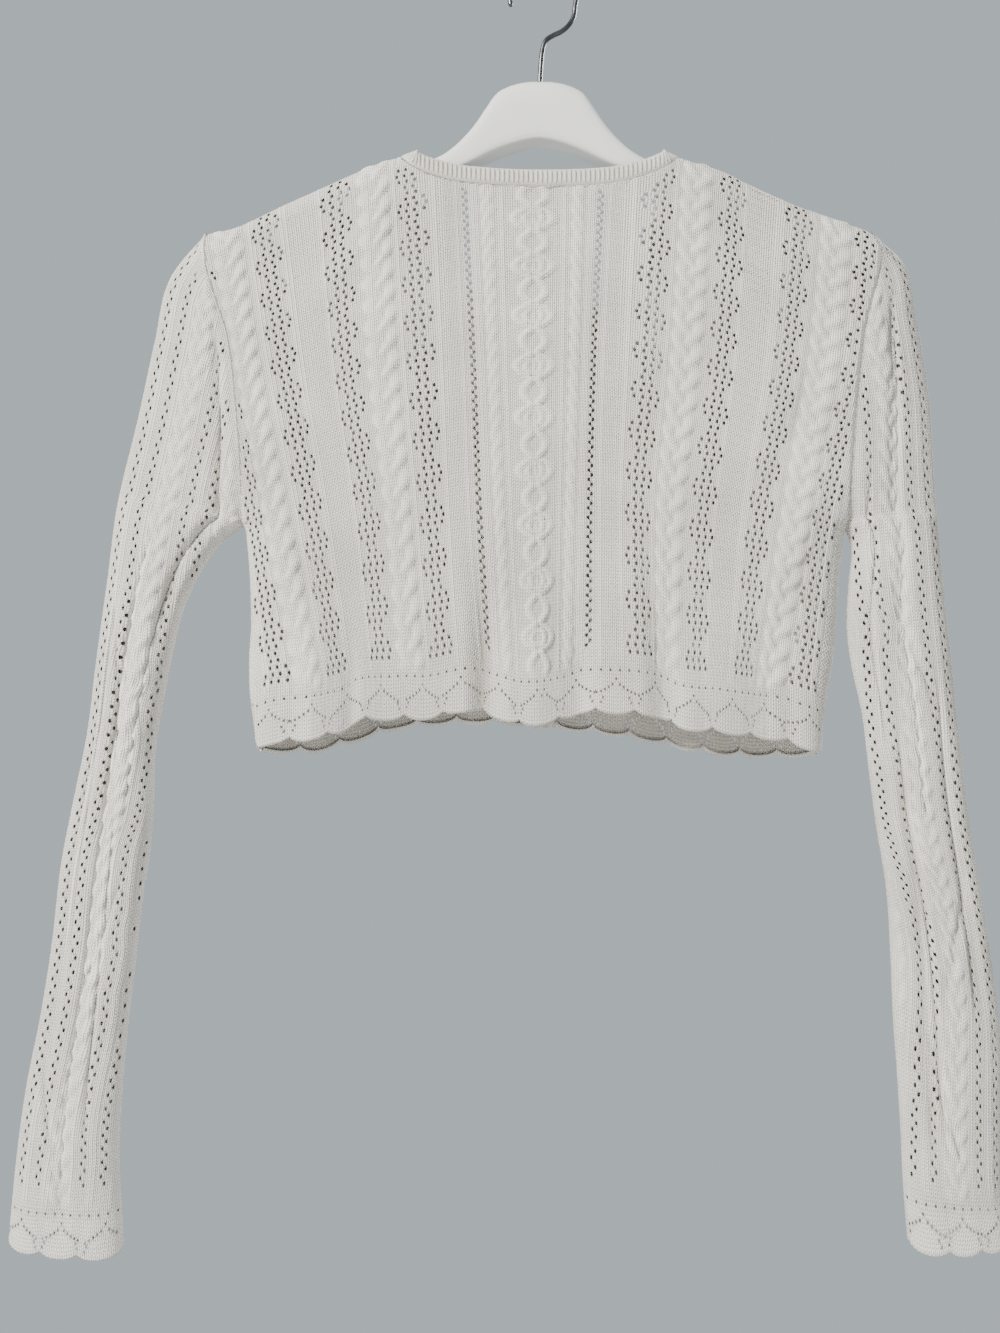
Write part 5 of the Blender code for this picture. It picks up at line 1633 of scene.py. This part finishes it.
@dataclass
class RibTree:
    """Geometry Nodes that stand a short rounded cord on each point, along the point's own direction."""

    material: bpy.types.Material

    def build(self) -> bpy.types.NodeTree:
        """Build the tree, with its sizes as named inputs.

        Returns:
            The tree.
        """
        tree = bpy.data.node_groups.new("neck ribs", "GeometryNodeTree")

        def add(kind: str, settings: dict, links: dict) -> bpy.types.NodeSocket:
            """Add a node to this tree and return its first output."""
            return add_node(tree, kind, settings, links).outputs[0]

        for name, kind in (("Geometry", "Geometry"), ("Rib length", "Float"), ("Rib radius", "Float")):
            tree.interface.new_socket(name, in_out="INPUT", socket_type="NodeSocket" + kind)
        tree.interface.new_socket("Geometry", in_out="OUTPUT", socket_type="NodeSocketGeometry")
        source = add_node(tree, "NodeGroupInput", {}, {}).outputs
        heights = [number(tree, "MULTIPLY", source["Rib length"], end) for end in (-0.5, 0.5)]
        foot, top = (add("ShaderNodeCombineXYZ", {}, {"Z": height}) for height in heights)
        line = add("GeometryNodeCurvePrimitiveLine", {}, {"Start": foot, "End": top})
        fine = add("GeometryNodeResampleCurve", {"Count": 9}, {"Curve": line})
        along = add("GeometryNodeSplineParameter", {}, {})
        arch = number(tree, "SINE", number(tree, "MULTIPLY", along, math.pi))
        size = number(tree, "MULTIPLY", number(tree, "POWER", arch, 0.35), source["Rib radius"])
        circle = add("GeometryNodeCurvePrimitiveCircle", {"Resolution": 8, "Radius": 1.0}, {})
        cord = add("GeometryNodeCurveToMesh", {}, {"Curve": fine, "Profile Curve": circle, "Scale": size})
        rise, out = (add("GeometryNodeInputNamedAttribute", {"data_type": "FLOAT_VECTOR", "Name": name}, {})
                     for name in ("rise", "out"))
        upright = add("FunctionNodeAlignRotationToVector", {"axis": "Z"}, {"Vector": rise})
        turned = add("FunctionNodeAlignRotationToVector", {"axis": "Y", "pivot_axis": "Z"},
                     {"Rotation": upright, "Vector": out})
        placed = add("GeometryNodeInstanceOnPoints", {},
                     {"Points": source["Geometry"], "Instance": cord, "Rotation": turned})
        real = add("GeometryNodeRealizeInstances", {}, {"Geometry": placed})
        smooth = add("GeometryNodeSetShadeSmooth", {}, {"Geometry": real})
        dressed = add("GeometryNodeSetMaterial", {"Material": self.material}, {"Geometry": smooth})
        add_node(tree, "NodeGroupOutput", {}, {0: dressed})
        return tree


@dataclass
class FrontTrim:
    """The narrow ribbed trim along one front edge."""

    name: str
    hand: Hand
    thickness: float = 1.9
    rib_pitch: float = 1.45

    def build(self) -> bpy.types.Object:
        """Build the trim.

        Returns:
            The object.
        """
        form = BodyForm(Side.FRONT)
        near = CENTRE_FRONT + self.hand.value * SEAM * 2
        far = CENTRE_FRONT + self.hand.value * FRONT_BAND_WIDTH
        top = FRONT_NECK_Z + 9.5
        foot = float(np.interp(CENTRE_FRONT, *form.hem)) - SCALLOP_DEPTH
        tube = Tube(self.name)
        count = round((top - foot) / self.rib_pitch)
        for index in range(count + 1):
            z = top + (foot - top) * index / count
            depth = float(form.depth(np.array(CENTRE_FRONT), np.array(min(z, FRONT_NECK_Z))))
            flat, crown = self.thickness, self.thickness + (0.6 if index % 2 else 0.15)
            section = ((0.0, 0.0), (0.0, flat), (0.2, crown), (0.5, crown), (0.8, crown), (1.0, flat),
                       (1.0, 0.0))
            tube.ring([Vector((near + (far - near) * share, depth + out, z)) for share, out in section])
        return tube.build()


@dataclass
class Hanger:
    """The shaped hanger: rounded sections from one arm's tip to the other's."""

    sections: int = 150
    sides: int = 28

    def table(self) -> list:
        """List the sections from left to right.

        Returns:
            x, top, bottom, half thickness and roundness of each.
        """
        form = BodyForm(Side.BACK)
        halves = []
        for outward in (-1, 1):
            half = [(HANGER_X + outward * row[0], *row[1:]) for row in HANGER]
            for distance, height, thick in HANGER_ARMS:
                x = HANGER_X + outward * distance
                shoulder = min(x, NECK_LEFT) if outward < 0 else max(x, NECK_RIGHT)
                top = float(form.top(np.array(shoulder))) - HANGER_GAP
                half.append((x, top, top - height, thick, 1.0))
            halves.append(half)
        return list(reversed(halves[0][1:])) + halves[1]

    def build(self) -> bpy.types.Object:
        """Build the hanger.

        Returns:
            The object.
        """
        table = self.table()
        curves = [curve_of(tuple(table), column, 0.5) for column in (1, 2, 3, 4)]
        tube = Tube("hanger_body")
        low, high = table[0][0], table[-1][0]
        for index in range(self.sections + 1):
            share = index / self.sections
            x = low + (high - low) * (0.75 * share + 0.125 * (1 - math.cos(math.pi * share)))
            top, foot, thick, roundness = (float(np.interp(x, *curve)) for curve in curves)
            tip = min((x - low) / 4.0, (high - x) / 4.0, 1.0)
            shrink = 0.55 + 0.45 * math.sqrt(max(1 - (1 - tip) ** 2, 0.0))
            ring = []
            for step in range(self.sides):
                turn = 2 * math.pi * step / self.sides
                flat = roundness
                if math.cos(turn) < 0:
                    flat += (0.3 - roundness) * float(eased(np.array(2.2 - abs(x - HANGER_X) / 50.0)))
                up = math.copysign(abs(math.cos(turn)) ** flat, math.cos(turn)) * shrink
                over = math.copysign(abs(math.sin(turn)) ** flat, math.sin(turn)) * shrink
                ring.append(Vector((x, thick * over, (top + foot) / 2 + (top - foot) / 2 * up)))
            tube.ring(ring)
        return tube.build()

    def build_hook(self) -> bpy.types.Object:
        """Build the hook: a steel wire bent over, with a rounded tip.

        Returns:
            The object.
        """
        path = [Vector((x, 0, z)) for x, z in STEM]
        middle = -BEND_RADIUS + WIRE_RADIUS
        for index in range(49):
            turn = math.radians(BEND_FROM + (BEND_TO - BEND_FROM) * index / 48)
            path.append(Vector((BEND_RADIUS * math.cos(turn), 0, middle + BEND_RADIUS * math.sin(turn))))
        keys = [0.0]
        for one, other in zip(path, path[1:]):
            keys.append(keys[-1] + (other - one).length)
        over = curve_of(tuple(zip(keys, [point.x for point in path])), 1, 1.0)
        up = curve_of(tuple(zip(keys, [point.z for point in path])), 1, 1.0)
        tube = Tube("hanger_wire")
        length = keys[-1]
        tip = [length - left for left in (1.3, 0.9, 0.5, 0.2, 0.02)]
        for place in [*np.arange(0.0, length - 1.4, 1.2), *tip]:
            behind, here, ahead = (Vector((float(np.interp(at, *over)), 0, float(np.interp(at, *up))))
                                   for at in (place - 0.6, place, place + 0.6))
            run = (ahead - behind).normalized()
            side = Vector((-run.z, 0, run.x))
            left = min(length - place, WIRE_RADIUS) / WIRE_RADIUS
            radius = WIRE_RADIUS * math.sqrt(max(1 - (1 - left) ** 2, 0.0025))
            tube.ring([here + side * radius * math.cos(turn) + Vector((0, radius * math.sin(turn), 0))
                       for turn in (2 * math.pi * step / 16 for step in range(16))])
        return tube.build()


@dataclass(frozen=True)
class Finish:
    """A finish whose colour wanders between two shades."""

    name: str
    colour: str
    shade: str

    def begin(self) -> tuple:
        """Start the material.

        Returns:
            The material, its empty tree and the object's coordinates.
        """
        material = bpy.data.materials.new(self.name)
        material.use_nodes = True
        tree = material.node_tree
        tree.nodes.clear()
        return material, tree, add_node(tree, "ShaderNodeTexCoord", {}, {}).outputs["Object"]

    def end(self, tree: bpy.types.NodeTree, share: bpy.types.NodeSocket, settings: dict, links: dict) -> None:
        """Add the mixed colour, the shader and the output.

        Args:
            tree: The material's tree.
            share: How much of the second shade there is.
            settings: The shader's settings.
            links: What feeds the shader's other inputs.
        """
        shades = {"data_type": "RGBA", 6: linear(self.colour), 7: linear(self.shade)}
        colour = add_node(tree, "ShaderNodeMix", shades, {"Factor": share}).outputs[2]
        shader = add_node(tree, "ShaderNodeBsdfPrincipled", settings, {"Base Color": colour, **links})
        add_node(tree, "ShaderNodeOutputMaterial", {}, {0: shader.outputs[0]})


@dataclass(frozen=True)
class KnitFinish(Finish):
    """Fine cotton-blend yarn, knitted: matt, slightly hairy, with the V of each stitch in relief.

    The stitches are drawn 2.1 mm wide, as the knit's own, so they show as the grain of the cloth. Its darker
    tone comes in at random, and as painted shade in the stitches' grooves, on low knit and round the eyelets.
    """

    name: str = "ivory knit"
    colour: str = "#EAE8E3"
    # darker tone, for the random mottle and for the painted shade
    shade: str = "#BDB9B1"
    stitch_width: float = 2.1
    stitch_height: float = 1.9
    relief: float = 0.45
    hair: float = 1.1

    def build(self) -> bpy.types.Material:
        """Build the material.

        Returns:
            The material.
        """
        material, tree, place = self.begin()
        knit = add_node(tree, "ShaderNodeUVMap", {"uv_map": "knit"}, {}).outputs[0]
        across, along, _none = add_node(tree, "ShaderNodeSeparateXYZ", {}, {0: knit}).outputs
        leg = number(tree, "PINGPONG", number(tree, "DIVIDE", across, self.stitch_width * MM), 0.5)
        course = number(tree, "DIVIDE", along, self.stitch_height * MM)
        slant = number(tree, "MULTIPLY_ADD", leg, 1.3, course)
        wave, crest = (number(tree, "SINE", number(tree, "MULTIPLY", part, 2 * math.pi))
                       for part in (slant, leg))
        stitch = number(tree, "MULTIPLY_ADD", wave, 0.35, crest)
        hairy = number(tree, "MULTIPLY_ADD", noise(tree, place, 900.0, 3.0, 0.7), self.hair, stitch)
        bump = add_node(tree, "ShaderNodeBump", {"Distance": self.relief * MM, "Strength": 1.0},
                        {"Height": hairy})
        mottle = ranged(tree, noise(tree, place, 22.0, 4.0), (0.3, 0.75), (0.0, 0.35))
        # painted shade: the grooves of each stitch are darker
        deep = ranged(tree, stitch, (-0.6, 1.2), (0.6, 0.0))
        # painted shade: knit that lies low, between the cables and ribs and round the eyelets, is darker
        raised = add_node(tree, "ShaderNodeAttribute", {"attribute_name": "raised"}, {}).outputs["Fac"]
        low = ranged(tree, raised, (-0.5 * MM, 0.5 * MM), (0.7, 0.0))
        # share of the darker tone: random mottle plus painted shade
        share = number(tree, "ADD", number(tree, "ADD", mottle, deep), low)
        share.node.use_clamp = True
        cloth = {"Roughness": 0.88, "IOR": 1.5, "Specular IOR Level": 0.25, "Sheen Weight": 0.15,
                 "Sheen Roughness": 0.5}
        self.end(tree, share, cloth, {"Normal": bump.outputs[0]})
        return material


@dataclass(frozen=True)
class LacquerFinish(Finish):
    """White lacquer on a shaped hanger: smooth, glossy, with a faint unevenness of the sprayed coat."""

    name: str = "white lacquer"
    colour: str = "#DCDCDA"
    shade: str = "#D2D2D0"

    def build(self) -> bpy.types.Material:
        """Build the material.

        Returns:
            The material.
        """
        material, tree, place = self.begin()
        cloud, ripple = noise(tree, place, 30.0, 3.0), noise(tree, place, 260.0, 2.0)
        bump = add_node(tree, "ShaderNodeBump", {"Strength": 0.05, "Distance": 0.1 * MM}, {"Height": ripple})
        self.end(tree, cloud, {"IOR": 1.5, "Coat Weight": 0.35, "Coat Roughness": 0.08},
                 {"Roughness": ranged(tree, cloud, (0.0, 1.0), (0.2, 0.32)), "Normal": bump.outputs[0]})
        return material


@dataclass(frozen=True)
class WireFinish(Finish):
    """Drawn steel wire with a dark nickel plate: a dark mirror with fine wear."""

    name: str = "dark plated steel"
    colour: str = "#505052"
    shade: str = "#6C6C6E"

    def build(self) -> bpy.types.Material:
        """Build the material.

        Returns:
            The material.
        """
        material, tree, place = self.begin()
        wear = noise(tree, place, 180.0, 5.0)
        self.end(tree, wear, {"Metallic": 1.0}, {"Roughness": ranged(tree, wear, (0.0, 1.0), (0.18, 0.4))})
        return material


@dataclass
class Studio:
    """Floor, background, lights and the camera at the photograph's angle."""

    distance: float = 0.68
    scale: float = 0.62  # millimetres in one pixel of the photograph at the body's middle plane
    height: int = 1333
    centre: tuple = (-0.02666, -0.43369)

    def build(self) -> None:
        """Build the floor, the background, the lights and the camera."""
        self.background()
        self.floor()
        self.light("key", (-1.7, -1.6, 0.9), 0.65, 185.0, "#FFFBF4")
        self.light("hem fill", (0.2, -1.2, -1.15), 0.8, 11.0, "#FFF4E4")
        self.light("rear key", (1.7, 1.6, 0.9), 0.8, 80.0, "#FBFBFA")
        self.light("rear fill", (-1.2, 1.3, -0.6), 1.0, 12.0, "#F4F6F8")
        self.camera()

    def background(self) -> None:
        """A plain pale world, darker straight below and lighter straight above."""
        world = bpy.data.worlds.new("studio")
        bpy.context.scene.world = world
        world.use_nodes = True
        tree = world.node_tree
        tree.nodes.clear()
        way = add_node(tree, "ShaderNodeTexCoord", {}, {}).outputs["Generated"]
        height = add_node(tree, "ShaderNodeSeparateXYZ", {}, {0: way}).outputs["Z"]
        level = number(tree, "MULTIPLY", ranged(tree, height, (-0.95, -0.55), (0.35, 1.05)),
                       ranged(tree, height, (0.55, 0.95), (1.0, 1.5)))
        shade = add_node(tree, "ShaderNodeBackground", {"Color": linear("#B3BCC0")}, {"Strength": level})
        add_node(tree, "ShaderNodeOutputWorld", {}, {0: shade.outputs[0]})

    def floor(self) -> None:
        """A plain pale floor, below what the camera sees."""
        mesh = bpy.data.meshes.new("floor")
        turns = [2 * math.pi * step / 96 for step in range(96)]
        mesh.from_pydata([(math.cos(turn), math.sin(turn), -1.62) for turn in turns], [], [tuple(range(96))])
        material = bpy.data.materials.new("floor paint")
        material.use_nodes = True
        shader = material.node_tree.nodes["Principled BSDF"]
        shader.inputs["Base Color"].default_value = linear("#B4B8BA")
        shader.inputs["Roughness"].default_value = 0.9
        mesh.materials.append(material)
        show("floor", mesh)

    def light(self, name: str, place: tuple, size: float, power: float, colour: str) -> None:
        """Add a soft square light that points at the garment.

        Args:
            name: Its name.
            place: Its place in metres.
            size: Side of its square.
            power: Its power in watts.
            colour: Its colour.
        """
        data = bpy.data.lights.new(name, "AREA")
        data.size = size
        data.energy = power
        data.color = linear(colour)[:3]
        lamp = show(name, data)
        lamp.location = place
        lamp.rotation_euler = (Vector((0.0, 0.0, -0.38)) - Vector(place)).to_track_quat("-Z", "Y").to_euler()

    def camera(self) -> None:
        """Add the camera, level and square to the garment, as in the photograph."""
        data = bpy.data.cameras.new("camera")
        data.sensor_fit = "AUTO"
        data.sensor_width = 36.0
        data.lens = data.sensor_width * self.distance / (self.height * self.scale * MM)
        data.dof.use_dof = False
        camera = show("camera", data)
        camera.location = (self.centre[0], -self.distance, self.centre[1])
        camera.rotation_euler = (math.pi / 2, 0, 0)
        bpy.context.scene.camera = camera


def dress(item: bpy.types.Object, material: bpy.types.Material, nodes: tuple) -> None:
    """Give a piece its material and its body, and hide the solids that it stands for.

    Args:
        item: The piece.
        material: Its material.
        nodes: Names of the solids that it replaces.
    """
    item.data.materials.clear()
    item.data.materials.append(material)
    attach(item, "root")
    if nodes:
        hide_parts(*nodes)
    LOG.info("%s: %d faces", item.name, len(item.data.polygons))


def main() -> None:
    """Build every piece, then the studio."""
    logging.basicConfig(level=logging.INFO, format="%(message)s")
    knit = KnitFinish().build()
    lacquer = LacquerFinish().build()
    steel = WireFinish().build()

    back = Panel("back_panel", Side.BACK, (Hand.LEFT, Hand.RIGHT)).build()
    dress(back, knit, ("back",))
    for hand, word in ((Hand.LEFT, "left"), (Hand.RIGHT, "right")):
        front = Panel("front_panel_" + word, Side.FRONT, (hand,)).build()
        dress(front, knit, ("front_" + word,))
        dress(FrontTrim("front_trim_" + word, hand).build(), knit, ("front_band_" + word,))
    for hand, word, drop in ((Hand.LEFT, "left", 4.0), (Hand.RIGHT, "right", 11.0)):
        sleeve = SleevePiece("sleeve_shell_" + word, hand, drop).build()
        dress(sleeve, knit, ("sleeve_" + word + "_upper", "sleeve_" + word + "_lower"))
    trim = NeckTrim()
    dress(trim.build(), knit, ("neck_band",))
    dress(trim.build_ribs(knit), knit, ())
    hanger = Hanger()
    dress(hanger.build(), lacquer, ("hanger",))
    dress(hanger.build_hook(), steel, ("hanger_hook",))
    Studio().build()


if __name__ == "__main__":
    main()
